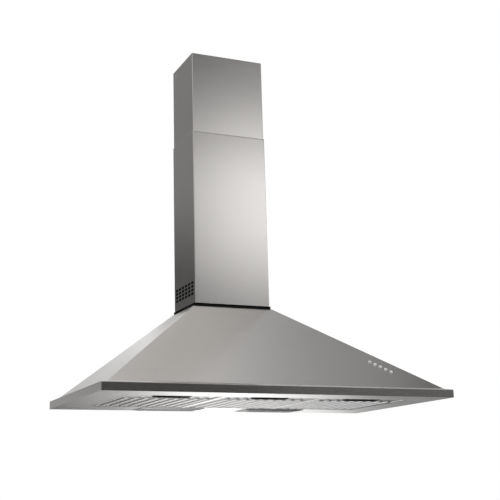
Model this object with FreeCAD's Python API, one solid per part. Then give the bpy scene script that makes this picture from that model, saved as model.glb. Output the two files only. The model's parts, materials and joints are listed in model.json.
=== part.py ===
import FreeCAD, Part
import math
import os

# A wall-hung chimney range hood, in millimetres. The origin is on the wall, at the middle of
# the hood's lower edge. X runs to the right seen from the front, Y into the wall, Z up.

Vector = FreeCAD.Vector
os.makedirs("parts", exist_ok=True)

# clearances and fits
moving_gap = 0.3
running_gap = 0.05
overrun = 2.0

# canopy: a low rim, a flat ledge on it and a flat-faced pyramid above
hood_width = 900.0
hood_depth = 480.0
rim_height = 20.0
rim_ledge = 12.0
rim_seat = 10.0
rim_edge_radius = 1.2
pyramid_height = 240.0
top_width = 224.0
top_depth = 162.0
canopy_sheet = 1.0
back_sheet = 1.2
top_flange = 8.0

# wall fixings in the back panel
hook_slot_spacing = 240.0
hook_slot_below_top = 55.0
hook_slot_length = 24.0
hook_slot_radius = 4.0
lock_hole_spacing = 600.0
lock_hole_height = 60.0
lock_hole_radius = 3.0

# chimney: two sliding channels open to the wall, on a dark seal
seal_height = 7.0
seal_reach = 4.0
seal_groove = 2.2
seal_lip = 3.0
seal_lip_wall = 1.5
chimney_width = 214.0
chimney_depth = 158.0
chimney_sheet = 1.0
chimney_bend = 2.0
chimney_flange = 15.0
lower_length = 477.0
upper_show = 229.0
step_gap = 0.5
upper_length = 460.0

# ventilation slots, low on both sides of the lower chimney
slot_columns = 6
slot_rows = 4
slot_column_pitch = 23.4
slot_row_pitch = 9.8
slot_length = 17.0
slot_height = 4.5
slot_first_from_wall = 21.0
slot_first_above_seal = 28.0

# chimney bracket
bracket_height = 30.0
bracket_arm = 42.0
bracket_sheet = 1.5
bracket_from_top = 4.0
bracket_hole_spacing = 120.0
bracket_hole_radius = 2.75

# underside pan and the grease filters in it
pan_sheet = 1.0
pan_edge_height = 14.0
pan_lip_height = 4.0
filter_front = 395.0
filter_rear = 105.0
filter_width = 238.0
filter_rail_width = 10.0
filter_rail_height = 9.0
filter_side_gap = 1.0
filter_front_gap = 1.0
filter_rear_gap = 7.0
filter_lift = 0.5
filter_height = 10.0
filter_wall = 1.0
filter_low_lip = 6.0
filter_high_lip = 5.0
mesh_pleats = 9
mesh_sheet = 0.8
filter_count = 3
filter_names = ["left_filter", "centre_filter", "right_filter"]

# pressed ridges of each filter, with air slots between them
ridge_count = 9
ridge_border = 12.5
ridge_width = 17.0
ridge_crown_width = 9.0
ridge_height = 3.0
ridge_slope_share = 0.4
ridge_end_flats = 3
ridge_front = 345.0
ridge_rear = 122.0
air_slot_width = 3.6
air_slot_inset = 12.0

# handle pocket and spring latch of each filter
pocket_width = 86.0
pocket_front = 389.0
pocket_rear = 351.0
pocket_depth = 15.0
pocket_wall = 1.0
grip_thickness = 7.0
grip_front = 376.0
grip_drop = 2.0
grip_height = 9.0
grip_edge_radius = 2.3
tongue_width = 30.0
tongue_thickness = 1.2
tongue_reach = 4.0
rear_tongue_width = 16.0
rear_tongue_reach = 7.0
rear_tongue_spread = 160.0
leaf_thickness = 0.5
leaf_chord = 54.0
leaf_height = 5.0
leaf_flat_share = 0.3

# lamps in the back of the pan
lamp_spread = 145.0
lamp_middle = 52.0
lamp_width = 178.0
lamp_length = 80.0
lamp_drop = 4.5
lamp_bevel = 14.0
lamp_rim_wall = 2.0
lens_inset = 7.0
lens_thickness = 1.8
lens_ledge = 2.0
tray_width = 150.0
tray_length = 60.0
tray_height = 44.0
tray_sheet = 1.0
tray_flange = 8.0
bulb_radius = 17.0
bulb_length = 62.0
bulb_cap_radius = 7.0
bulb_cap_length = 6.0
bulb_sides = 16
bulb_belly_share = 0.36
bulb_axis_height = 24.0
socket_width = 25.0
socket_length = 30.0

# blower deck, scroll, wheel and motor
deck_sheet = 1.5
tab_width = 40.0
tab_rise = 14.0
fan_radius = 72.0
fan_inner_radius = 58.0
fan_half_width = 52.0
fan_blades = 24
fan_blade_thickness = 1.2
fan_camber_share = 0.55
fan_ring_thickness = 2.0
fan_disc_thickness = 2.5
fan_hub_width = 20.0
fan_hub_length = 16.0
scroll_first_radius = 86.0
scroll_growth = 9.0
scroll_half_width = 60.0
scroll_wall = 1.5
scroll_back_gap = 26.0
scroll_axis_below_deck = 111.5
scroll_neck_flange = 10.5
inlet_radius = 56.0
outlet_depth = 107.0
shaft_radius = 4.0
shaft_tail = 34.0
motor_radius = 38.0
motor_length = 48.0
motor_flange = 84.0
motor_flange_sheet = 2.0
motor_boss_gap = 4.0

# outlet collar and its two non-return flaps
duct_radius = 62.0
collar_wall = 1.5
collar_flange_x = 72.0
collar_flange_y = 63.0
collar_height = 93.0
flap_axis_above_deck = 41.0
flap_axis_offset = 6.0
flap_pin_radius = 2.0
flap_thickness = 1.2
flap_sides = 48
flap_edge_gap = 1.2
flap_stop_width = 2.5
flap_stop_half = 12.0
flap_stop_height = 2.0
spine_half_width = 3.0

# mains connection and motor capacitor
gland_x = 88.0
gland_from_wall = 26.0
gland_bore = 4.0
gland_neck = 14.0
gland_foot = 16.0
gland_width = 24.0
gland_dome_width = 19.0
gland_flange_height = 5.0
gland_dome_height = 11.0
gland_foot_height = 4.0
junction_x = 145.0
junction_below_top = 165.0
junction_width = 110.0
junction_height = 70.0
junction_depth = 42.0
junction_wall = 2.0
capacitor_radius = 14.0
capacitor_sides = 24
capacitor_length = 52.0
capacitor_terminal = 3.0

# push buttons along the right-hand slanted edge of the front
button_count = 5
button_first = 136.4
button_pitch = 14.8
button_inset = 41.0
button_radius = 4.2
button_bevel = 0.6
button_sides = 20
button_proud = 2.6
button_travel = 2.0
button_stem = 5.0
button_stem_length = 14.0
button_foot_reach = 1.0
button_foot_height = 1.2
carrier_thickness = 4.0
carrier_drop = 3.0
carrier_width = 22.0
carrier_end = 12.0
carrier_leg = 4.0
board_thickness = 2.0
board_gap = 0.6
switch_size = 10.0
switch_height = 7.0

# sizes that follow from those above
half_width = hood_width / 2
foot_half = half_width - rim_ledge
foot_front = -(hood_depth - rim_ledge)
top_half = top_width / 2
pyramid_top = rim_height + pyramid_height
hook_slot_height = pyramid_top - hook_slot_below_top
junction_low = pyramid_top - junction_below_top
front_run = hood_depth - rim_ledge - top_depth
side_run = foot_half - top_half
front_slope = math.hypot(front_run, pyramid_height)
side_slope = math.hypot(side_run, pyramid_height)
front_skin = canopy_sheet * front_slope / pyramid_height
side_skin = canopy_sheet * side_slope / pyramid_height
deck_top = pyramid_top - canopy_sheet
deck_bottom = deck_top - deck_sheet
flap_axis_height = deck_top + flap_axis_above_deck
collar_top = deck_top + collar_height
seal_top = pyramid_top + seal_height
seam_height = seal_top + lower_length
upper_top = seam_height + upper_show
chimney_half = chimney_width / 2
upper_half = chimney_half - chimney_sheet - step_gap
upper_depth = chimney_depth - chimney_sheet - step_gap
upper_back = -(chimney_sheet + step_gap)
upper_bottom = upper_top - upper_length
filter_pitch = filter_width + filter_rail_width + filter_side_gap * 2
ridge_pitch = (filter_width - ridge_border * 2 - ridge_width) / (ridge_count - 1)
opening_half = (filter_width * filter_count + filter_rail_width * (filter_count - 1)) / 2
opening_half = opening_half + filter_side_gap * filter_count
frame_front = -(filter_front - filter_front_gap)
frame_rear = -(filter_rear + filter_rear_gap)
frame_top = filter_lift + filter_height
face_bottom = filter_lift + filter_wall
face_top = face_bottom + filter_wall
tongue_bottom = pan_lip_height + moving_gap
tongue_top = tongue_bottom + tongue_thickness
duct_middle = -top_depth / 2
fan_y = -(scroll_back_gap + scroll_wall + scroll_first_radius + scroll_growth * 5 / 2)
fan_z = deck_bottom - scroll_axis_below_deck
scroll_side = scroll_half_width + scroll_wall
motor_face = scroll_side
shaft_tip = fan_half_width - fan_hub_length


def box(x_span, y_span, z_span):
    # A block between two values on each axis.
    low = Vector(x_span[0], y_span[0], z_span[0])
    return Part.makeBox(x_span[1] - x_span[0], y_span[1] - y_span[0], z_span[1] - z_span[0], low)


def polygon(points):
    return Part.Face(Part.makePolygon(points + points[:1]))


def closed_solid(faces):
    # Joins faces that bound a space, with their normals outward.
    solid = Part.makeSolid(Part.makeShell(faces))
    if solid.Volume < 0:
        solid.reverse()
    return solid


def frustum(low, low_z, high, high_z):
    # Two level rectangles (x0, x1, y0, y1), joined by flat slanted faces.
    rings = []
    for (x0, x1, y0, y1), z in ((low, low_z), (high, high_z)):
        rings.append([Vector(x0, y0, z), Vector(x1, y0, z), Vector(x1, y1, z), Vector(x0, y1, z)])
    faces = [polygon(ring) for ring in rings]
    for i, corner in enumerate(rings[0]):
        j = (i + 1) % len(rings[0])
        faces.append(polygon([corner, rings[0][j], rings[1][j], rings[1][i]]))
    return closed_solid(faces)


def rod(radius, length, base, direction=Vector(0, 0, 1)):
    return Part.makeCylinder(radius, length, base, direction)


def flat_sided(points, sides):
    # A solid about Z with flat sides, from (radius, height) points listed upward.
    rings = []
    for radius, height in points:
        ring = []
        for i in range(sides if radius > 0 else 1):
            angle = math.tau * i / sides
            ring.append(Vector(radius * math.cos(angle), radius * math.sin(angle), height))
        rings.append(ring)
    faces = [polygon(ring) for ring in (rings[0], rings[-1]) if len(ring) > 1]
    for low, high in zip(rings, rings[1:]):
        for i in range(sides):
            j = (i + 1) % sides
            if len(high) == 1:
                faces.append(polygon([low[i], low[j], high[0]]))
            else:
                faces.append(polygon([low[i], low[j], high[j], high[i]]))
    return closed_solid(faces)


def slot_bar(length, radius, depth, middle, along, across):
    # A bar with round ends, to cut a slot: its length lies along, its depth across.
    half = length / 2 - radius
    side = across.cross(along)
    start, end = middle - along * half, middle + along * half
    corners = [start + side * radius, end + side * radius, end - side * radius, start - side * radius]
    edges = [
        Part.makeLine(corners[0], corners[1]),
        Part.Arc(corners[1], end + along * radius, corners[2]).toShape(),
        Part.makeLine(corners[2], corners[3]),
        Part.Arc(corners[3], start - along * radius, corners[0]).toShape(),
    ]
    return Part.Face(Part.Wire(edges)).extrude(across * depth)


def mirrored(shape):
    return shape.mirror(Vector(0, 0, 0), Vector(1, 0, 0))


def placed(shape, origin, x_axis, z_axis):
    # Moves a shape drawn at the origin so that its X and Z lie along the given directions.
    y_axis = z_axis.cross(x_axis)
    matrix = FreeCAD.Matrix(
        x_axis.x, y_axis.x, z_axis.x, origin.x,
        x_axis.y, y_axis.y, z_axis.y, origin.y,
        x_axis.z, y_axis.z, z_axis.z, origin.z,
    )
    return shape.transformShape(matrix, True, False)


def cut_all(shape, tools):
    for tool in tools:
        shape = shape.cut(tool)
    return shape


def fuse_all(shapes):
    return shapes[0].multiFuse(shapes[1:]).removeSplitter()


def save(name, shape):
    shape.exportStep("parts/" + name + ".step")
    print(name, "solids", len(shape.Solids), "volume", round(shape.Volume, 1), "valid", shape.isValid())


def hexagon(across_flats, height, base):
    # Upright six-sided prism.
    radius = across_flats / math.sqrt(3)
    turn = math.radians(60)
    corners = [base + Vector(radius * math.cos(turn * i), radius * math.sin(turn * i), 0) for i in range(6)]
    return polygon(corners).extrude(Vector(0, 0, height))


# canopy

def button_places():
    # Points on the front face, along its right-hand edge and inset from it.
    corner = Vector(foot_half, foot_front, rim_height)
    apex = Vector(top_half, -top_depth, pyramid_top)
    along = (apex - corner).normalize()
    outward = Vector(0, -pyramid_height, front_run).normalize()
    inward = outward.cross(along)
    start = corner + inward * button_inset
    places = [start + along * (button_first + button_pitch * i) for i in range(button_count)]
    return places, along, outward


def canopy_skin():
    # Front and two sides in one folded sheet, with an inward flange at the top.
    outer_foot = (-foot_half, foot_half, foot_front, -back_sheet)
    outer_top = (-top_half, top_half, -top_depth, -back_sheet)
    inner_foot = (-foot_half + side_skin, foot_half - side_skin, foot_front + front_skin, overrun)
    inner_top = (-top_half + side_skin, top_half - side_skin, -top_depth + front_skin, overrun)
    skin = frustum(outer_foot, rim_height, outer_top, pyramid_top)
    hollow = frustum(inner_foot, rim_height, inner_top, pyramid_top)
    below = box((-half_width, half_width), (-hood_depth, overrun * 2), (0, deck_top))
    skin = skin.cut(hollow.common(below))
    mouth = box(
        (-top_half + top_flange, top_half - top_flange),
        (-top_depth + top_flange, -top_flange),
        (deck_top - overrun, pyramid_top + overrun),
    )
    places, along, outward = button_places()
    hole = button_radius + moving_gap
    bore = flat_sided([(hole, -overrun * 2), (hole, overrun * 2)], button_sides)
    return cut_all(skin, [mouth] + [placed(bore.copy(), place, along, outward) for place in places])


def rim_frame():
    # Channel along the front and both sides, with a ledge that the pyramid stands on.
    outer = box((-half_width, half_width), (-hood_depth, -back_sheet), (0, rim_height))
    rounded = [
        e for e in outer.Edges
        if e.BoundBox.ZMin > rim_height / 2 and e.BoundBox.YMin < -hood_depth + overrun
    ]
    outer = outer.makeFillet(rim_edge_radius, rounded)
    wall = canopy_sheet
    inner = box(
        (-half_width + wall, half_width - wall), (-hood_depth + wall, overrun),
        (-overrun, rim_height - wall),
    )
    mouth = box(
        (-foot_half + rim_seat, foot_half - rim_seat), (foot_front + rim_seat, overrun),
        (0, rim_height + overrun),
    )
    return cut_all(outer, [inner, mouth])


def back_panel():
    # Flat panel on the wall with hanging slots and locking holes.
    low = [Vector(-half_width, 0, 0), Vector(half_width, 0, 0)]
    foot = [Vector(half_width, 0, rim_height), Vector(foot_half, 0, rim_height)]
    top = [Vector(top_half, 0, pyramid_top), Vector(-top_half, 0, pyramid_top)]
    left = [Vector(-foot_half, 0, rim_height), Vector(-half_width, 0, rim_height)]
    panel = polygon(low + foot + top + left).extrude(Vector(0, -back_sheet, 0))
    across = Vector(0, -1, 0)
    depth = back_sheet + overrun * 2
    cuts = []
    for side in (-1, 1):
        middle = Vector(side * hook_slot_spacing / 2, overrun, hook_slot_height)
        cuts.append(slot_bar(hook_slot_length, hook_slot_radius, depth, middle, Vector(1, 0, 0), across))
        hole = Vector(side * lock_hole_spacing / 2, overrun, lock_hole_height)
        cuts.append(rod(lock_hole_radius, depth, hole, across))
    return cut_all(panel, cuts)


# chimney

def channel(half, depth, back, bottom, top, bend):
    # A folded channel open to the wall, with two flanges turned inward along it.
    outer = box((-half, half), (-depth, back), (bottom, top))
    corners = [
        e for e in outer.Edges
        if e.BoundBox.ZLength > (top - bottom) / 2 and e.BoundBox.YMax < back - depth / 2
    ]
    outer = outer.makeFillet(bend, corners)
    wall = chimney_sheet
    z_span = (bottom - overrun, top + overrun)
    inner = box((-half + wall, half - wall), (-depth + wall, back - wall), z_span)
    inner_corners = [
        e for e in inner.Edges
        if e.BoundBox.ZLength > (top - bottom) / 2 and e.BoundBox.YMax < back - depth / 2
    ]
    inner = inner.makeFillet(bend - wall, inner_corners)
    mouth_half = half - chimney_flange
    mouth = box((-mouth_half, mouth_half), (back - wall - overrun, back + overrun), z_span)
    return cut_all(outer, [inner, mouth])


def vent_slots():
    # Rows of punched slots through both sides of the lower chimney.
    bars = []
    reach = (chimney_half - chimney_sheet - overrun, chimney_half + overrun)
    for row in range(slot_rows):
        z = seal_top + slot_first_above_seal + slot_row_pitch * row
        for column in range(slot_columns):
            y = -slot_first_from_wall - slot_column_pitch * column
            span = (y - slot_length / 2, y + slot_length / 2)
            height = (z - slot_height / 2, z + slot_height / 2)
            bar = box(reach, span, height)
            bars += [bar, mirrored(bar)]
    return bars


def lower_chimney():
    shell = channel(chimney_half, chimney_depth, 0, seal_top, seam_height, chimney_bend)
    return shell.cut(Part.makeCompound(vent_slots()))


def upper_chimney():
    return channel(upper_half, upper_depth, upper_back, upper_bottom, upper_top, chimney_bend)


def chimney_bracket():
    # Wall strap with two arms that the upper chimney is screwed to.
    half = upper_half - chimney_sheet
    low = upper_top - bracket_from_top - bracket_height
    z_span = (low, low + bracket_height)
    strap_back = upper_back - chimney_sheet
    strap = box((-half, half), (strap_back - bracket_sheet, strap_back), z_span)
    arms = [
        box((-half, -half + bracket_sheet), (strap_back - bracket_arm, strap_back), z_span),
        box((half - bracket_sheet, half), (strap_back - bracket_arm, strap_back), z_span),
    ]
    bracket = fuse_all([strap] + arms)
    middle = low + bracket_height / 2
    holes = [
        rod(bracket_hole_radius, bracket_sheet + overrun * 2,
            Vector(side * bracket_hole_spacing / 2, strap_back + overrun, middle), Vector(0, -1, 0))
        for side in (-1, 1)
    ]
    return cut_all(bracket, holes)


def chimney_seal():
    # Two-lipped dark seal round the chimney's foot, with a V groove and an upright inner lip.
    reach = chimney_half + seal_reach
    front = -chimney_depth - seal_reach
    waist = (-reach + seal_groove, reach - seal_groove, front + seal_groove, 0)
    full = (-reach, reach, front, 0)
    middle = pyramid_top + seal_height / 2
    seal = fuse_all([
        frustum(full, pyramid_top, waist, middle),
        frustum(waist, middle, full, seal_top),
    ])
    inner_half = chimney_half - chimney_sheet - moving_gap
    inner_front = -chimney_depth + chimney_sheet + moving_gap
    lip = box((-inner_half, inner_half), (inner_front, 0), (pyramid_top, seal_top + seal_lip))
    seal = fuse_all([seal, lip])
    mouth = box(
        (-inner_half + seal_lip_wall, inner_half - seal_lip_wall),
        (inner_front + seal_lip_wall, overrun),
        (pyramid_top - overrun, seal_top + seal_lip + overrun),
    )
    flange_room = box(
        (-inner_half - chimney_sheet, inner_half + chimney_sheet),
        (-chimney_sheet - moving_gap, overrun),
        (seal_top, seal_top + seal_lip + overrun),
    )
    return cut_all(seal, [mouth, flange_room])


# underside

def lamp_middles():
    return [Vector(side * lamp_spread, -lamp_middle, 0) for side in (-1, 1)]


def bottom_pan():
    # Underside sheet with upturned edges, a lipped opening for the filters and two lamp cut-outs.
    half = half_width - canopy_sheet
    front = -hood_depth + canopy_sheet
    body = box((-half, half), (front, -back_sheet), (0, pan_edge_height))
    wall = pan_sheet
    inner = box(
        (-half + wall, half - wall), (front + wall, -back_sheet - wall),
        (wall, pan_edge_height + overrun),
    )
    lip = box(
        (-opening_half - wall, opening_half + wall), (-filter_front - wall, -filter_rear + wall),
        (0, pan_lip_height),
    )
    mouth = box(
        (-opening_half, opening_half), (-filter_front, -filter_rear),
        (-overrun, pan_lip_height + overrun),
    )
    lamps = [
        box(
            (m.x - tray_width / 2, m.x + tray_width / 2),
            (m.y - tray_length / 2, m.y + tray_length / 2),
            (-overrun, wall + overrun),
        )
        for m in lamp_middles()
    ]
    return cut_all(fuse_all([body.cut(inner), lip]), [mouth] + lamps)


def filter_rail(side):
    # Hat rail between two filters: its flat crown shows below.
    middle = side * filter_pitch / 2
    half = filter_rail_width / 2
    span = (-filter_front, -filter_rear)
    rail = box((middle - half, middle + half), span, (0, filter_rail_height))
    wall = pan_sheet
    hollow = box((middle - half + wall, middle + half - wall), span, (wall, filter_rail_height + overrun))
    return rail.cut(hollow)


def filter_frame(middle):
    # Four-sided channel with a lip above and below, and two tongues that hook over the pan.
    half = filter_width / 2
    wall = filter_wall
    frame = box((middle - half, middle + half), (frame_front, frame_rear), (filter_lift, frame_top))
    inside = box(
        (middle - half + wall, middle + half - wall), (frame_front + wall, frame_rear - wall),
        (filter_lift + wall, frame_top - wall),
    )
    low = filter_low_lip
    low_window = box(
        (middle - half + low, middle + half - low), (frame_front + wall * 2, frame_rear - low),
        (filter_lift - overrun, filter_lift + wall + overrun),
    )
    high = filter_high_lip
    high_window = box(
        (middle - half + high, middle + half - high), (frame_front + high, frame_rear - high),
        (frame_top - wall - overrun, frame_top + overrun),
    )
    top_relief = box(
        (middle - pocket_width / 2 - pocket_wall - moving_gap,
         middle + pocket_width / 2 + pocket_wall + moving_gap),
        (frame_front + wall, -pocket_rear + pocket_wall + moving_gap),
        (frame_top - wall - overrun, frame_top + overrun),
    )
    tongue_slot = box(
        (middle - tongue_width / 2 - moving_gap, middle + tongue_width / 2 + moving_gap),
        (frame_front - overrun, frame_front + wall + overrun),
        (tongue_bottom - moving_gap, tongue_top + moving_gap),
    )
    frame = cut_all(frame, [inside, low_window, high_window, top_relief, tongue_slot])
    hooks = []
    for side in (-1, 1):
        x = middle + side * rear_tongue_spread / 2
        hooks.append(box(
            (x - rear_tongue_width / 2, x + rear_tongue_width / 2),
            (frame_rear - wall / 2, -filter_rear + rear_tongue_reach),
            (tongue_bottom, tongue_top),
        ))
    return fuse_all([frame] + hooks)


def ridge_outline(x, width, z):
    # A long outline whose ends are rounded in flats, as pressed sheet is.
    radius = width / 2
    front, rear = -ridge_front + ridge_width / 2, -ridge_rear - ridge_width / 2
    points = []
    for end, sign in ((front, -1), (rear, 1)):
        for i in range(ridge_end_flats + 1):
            angle = math.pi * i / ridge_end_flats
            across = radius * math.cos(angle)
            points.append(Vector(x - sign * across, end + sign * radius * math.sin(angle), z))
    return points


def ridge(x):
    # One pressed ridge with sloping sides, bulging down from the face.
    foot = ridge_outline(x, ridge_width, face_bottom)
    crown = ridge_outline(x, ridge_crown_width, face_bottom - ridge_height)
    faces = [polygon(foot), polygon(crown)]
    for i, point in enumerate(foot):
        j = (i + 1) % len(foot)
        faces.append(polygon([point, foot[j], crown[j], crown[i]]))
    return closed_solid(faces)


def ridge_hollow(x):
    # The straight inside of a ridge, open to the mesh above it.
    wall = filter_wall
    slope = (ridge_width - ridge_crown_width) / 2 / ridge_height
    low_half = ridge_crown_width / 2 - wall * ridge_slope_share
    low_z = face_bottom - ridge_height + wall
    high_half = low_half + slope * (ridge_height + overrun)
    high_z = face_top + overrun - wall
    front, rear = -ridge_front + ridge_width / 2, -ridge_rear - ridge_width / 2
    low = (x - low_half, x + low_half, front, rear)
    high = (x - high_half, x + high_half, front, rear)
    return frustum(low, low_z, high, high_z)


def filter_face(middle):
    # Pressed plate with ridges, air slots between them and a recessed handle pocket.
    half = filter_width / 2 - filter_wall
    wall = filter_wall
    y_span = (frame_front + wall, frame_rear - wall)
    plate = box((middle - half, middle + half), y_span, (face_bottom, face_top))
    first = middle - ridge_pitch * (ridge_count - 1) / 2
    centres = [first + ridge_pitch * i for i in range(ridge_count)]
    pocket_half = pocket_width / 2
    outer_half = pocket_half + pocket_wall
    pocket_top = face_bottom + pocket_depth
    cup = box(
        (middle - outer_half, middle + outer_half),
        (-pocket_front - pocket_wall, -pocket_rear + pocket_wall),
        (face_bottom, pocket_top + pocket_wall),
    )
    face = fuse_all([plate, cup] + [ridge(x) for x in centres])
    cuts = [ridge_hollow(x) for x in centres]
    for x in centres[:-1]:
        gap_middle = x + ridge_pitch / 2
        cuts.append(box(
            (gap_middle - air_slot_width / 2, gap_middle + air_slot_width / 2),
            (-ridge_front + air_slot_inset, -ridge_rear - air_slot_inset),
            (face_bottom - overrun, face_top + overrun),
        ))
    cuts.append(box(
        (middle - pocket_half, middle + pocket_half), (-pocket_front, -pocket_rear),
        (face_bottom - overrun, pocket_top),
    ))
    cuts.append(box(
        (middle - tongue_width / 2 - moving_gap, middle + tongue_width / 2 + moving_gap),
        (frame_front + filter_wall, -pocket_front + moving_gap),
        (tongue_bottom - moving_gap, tongue_top + moving_gap),
    ))
    return cut_all(face, cuts)


def filter_mesh(middle):
    # Pleated sheet of metal mesh, cut away round the handle pocket.
    inset = filter_wall + moving_gap
    half = filter_width / 2 - inset
    low = face_top + moving_gap
    high = frame_top - inset - mesh_sheet
    step = half / mesh_pleats
    y = frame_front + inset
    under = [
        Vector(middle - half + step * i, y, low if i % 2 == 0 else high) for i in range(mesh_pleats * 2 + 1)
    ]
    over = [point + Vector(0, 0, mesh_sheet) for point in reversed(under)]
    pad = polygon(under + over).extrude(Vector(0, frame_rear - inset - y, 0))
    room = pocket_width / 2 + pocket_wall + moving_gap
    return pad.cut(box(
        (middle - room, middle + room), (frame_front, -pocket_rear + pocket_wall + moving_gap),
        (0, frame_top + overrun),
    ))


def filter_latch(middle):
    # Sliding grip across the pocket, with a tongue that rests on the pan's front lip.
    half = pocket_width / 2 - moving_gap
    low = face_bottom + grip_drop
    rear = -grip_front + grip_thickness
    grip = box((middle - half, middle + half), (-grip_front, rear), (low, low + grip_height))
    finger_edges = [
        e for e in grip.Edges
        if e.BoundBox.XLength > half and e.BoundBox.ZMax < low + overrun
    ]
    grip = grip.makeFillet(grip_edge_radius, finger_edges)
    tongue = box(
        (middle - tongue_width / 2, middle + tongue_width / 2),
        (-filter_front - tongue_reach, rear - grip_thickness / 2),
        (tongue_bottom, tongue_top),
    )
    return fuse_all([grip, tongue])


def latch_spring(middle):
    # Bowed leaf bent from strip, between the grip and the pocket's rear wall.
    foot = -pocket_rear
    crown = -grip_front + grip_thickness + moving_gap
    half = leaf_chord / 2
    flat = half * leaf_flat_share
    low = face_bottom + grip_drop + leaf_height / 2
    t = leaf_thickness
    front = [(-half, foot), (-flat, crown), (flat, crown), (half, foot)]
    rear = [
        (half - t * 2, foot), (flat - t / 2, crown + t), (-flat + t / 2, crown + t), (-half + t * 2, foot),
    ]
    points = [Vector(middle + x, y, low) for x, y in front + rear]
    return polygon(points).extrude(Vector(0, 0, leaf_height))


# lamps

def lamp_bezel(middle):
    # Bevelled tray cover under the pan, with a window for the lens and a ledge to hold it.
    half_x, half_y = lamp_width / 2, lamp_length / 2
    low_x, low_y = half_x - lamp_bevel, half_y - lamp_bevel
    x, y = middle.x, middle.y
    outer = frustum(
        (x - low_x, x + low_x, y - low_y, y + low_y), -lamp_drop,
        (x - half_x, x + half_x, y - half_y, y + half_y), 0,
    )
    wall = lamp_rim_wall
    room_x, room_y = tray_width / 2 - moving_gap, tray_length / 2 - moving_gap
    collar = box((x - room_x, x + room_x), (y - room_y, y + room_y), (-wall / 2, pan_sheet + wall))
    well_x, well_y = low_x - lens_inset + lens_ledge, low_y - lens_inset + lens_ledge
    well = box(
        (x - well_x, x + well_x), (y - well_y, y + well_y),
        (-lamp_drop + lens_thickness, pan_sheet + wall + overrun),
    )
    window_x, window_y = low_x - lens_inset, low_y - lens_inset
    window = box(
        (x - window_x, x + window_x), (y - window_y, y + window_y), (-lamp_drop - overrun, overrun),
    )
    return cut_all(fuse_all([outer, collar]), [well, window])


def lamp_lens(middle):
    # Stepped diffuser: its raised middle fills the bezel's window from above.
    window_x = lamp_width / 2 - lamp_bevel - lens_inset
    window_y = lamp_length / 2 - lamp_bevel - lens_inset
    x, y = middle.x, middle.y
    bottom = -lamp_drop + lens_thickness
    plug = box(
        (x - window_x + moving_gap, x + window_x - moving_gap),
        (y - window_y + moving_gap, y + window_y - moving_gap),
        (-lamp_drop, bottom + lens_thickness / 2),
    )
    rim_x, rim_y = window_x + lens_ledge - moving_gap, window_y + lens_ledge - moving_gap
    rim = box((x - rim_x, x + rim_x), (y - rim_y, y + rim_y), (bottom, bottom + lens_thickness))
    return fuse_all([plug, rim])


def lamp_tray(middle):
    # Reflector box over the cut-out, with a flange that rests on the pan.
    x, y = middle.x, middle.y
    half_x, half_y = tray_width / 2, tray_length / 2
    floor = pan_sheet
    wall = tray_sheet
    x_span = (x - half_x - wall, x + half_x + wall)
    top = floor + tray_height
    shell = box(x_span, (y - half_y - wall, y + half_y + wall), (floor, top))
    inside = box((x - half_x, x + half_x), (y - half_y, y + half_y), (floor - overrun, top - wall))
    flange_y = half_y + tray_flange
    flange = box(x_span, (y - flange_y, y + flange_y), (floor, floor + wall))
    return fuse_all([shell, flange]).cut(inside)


def lamp_socket(middle):
    # Lampholder block at the outer end of the tray.
    side = math.copysign(1, middle.x)
    wall_x = middle.x + side * tray_width / 2
    inner_x = wall_x - side * socket_length
    z = pan_sheet + bulb_axis_height
    half = socket_width / 2
    x_span = (min(wall_x, inner_x), max(wall_x, inner_x))
    return box(x_span, (middle.y - half, middle.y + half), (z - half, z + half))


def lamp_bulb(middle):
    # Candle bulb lying along X, its cap against the lampholder.
    side = math.copysign(1, middle.x)
    start_x = middle.x + side * (tray_width / 2 - socket_length)
    start = Vector(start_x, middle.y, pan_sheet + bulb_axis_height)
    cap = bulb_cap_length
    belly = cap + bulb_length * bulb_belly_share
    bulb = flat_sided([
        (bulb_cap_radius, 0), (bulb_cap_radius, cap), (bulb_radius, belly), (0, cap + bulb_length),
    ], bulb_sides)
    return placed(bulb, start, Vector(0, 1, 0), Vector(-side, 0, 0))


# blower

def blower_deck():
    # Plate under the canopy's top flange that carries the blower, collar and cable gland.
    half = top_half - side_skin * 2
    inset = canopy_sheet + moving_gap
    deck = box((-half, half), (-top_depth + front_skin * 2, -back_sheet - inset), (deck_bottom, deck_top))
    through = (deck_bottom - overrun, deck_top + overrun)
    outlet = box(
        (-scroll_half_width, scroll_half_width),
        (duct_middle - outlet_depth / 2, duct_middle + outlet_depth / 2), through,
    )
    hole = gland_neck / 2
    gland = box(
        (-gland_x - hole, -gland_x + hole), (-gland_from_wall - hole, -gland_from_wall + hole), through,
    )
    deck = cut_all(deck, [outlet, gland])
    tabs = []
    for side in (-1, 1):
        x = side * (top_half - top_flange - moving_gap)
        span = (min(x, x - side * deck_sheet), max(x, x - side * deck_sheet))
        y_span = (duct_middle - tab_width / 2, duct_middle + tab_width / 2)
        tabs.append(box(span, y_span, (deck_bottom, seal_top + tab_rise)))
    return fuse_all([deck] + tabs)


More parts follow.
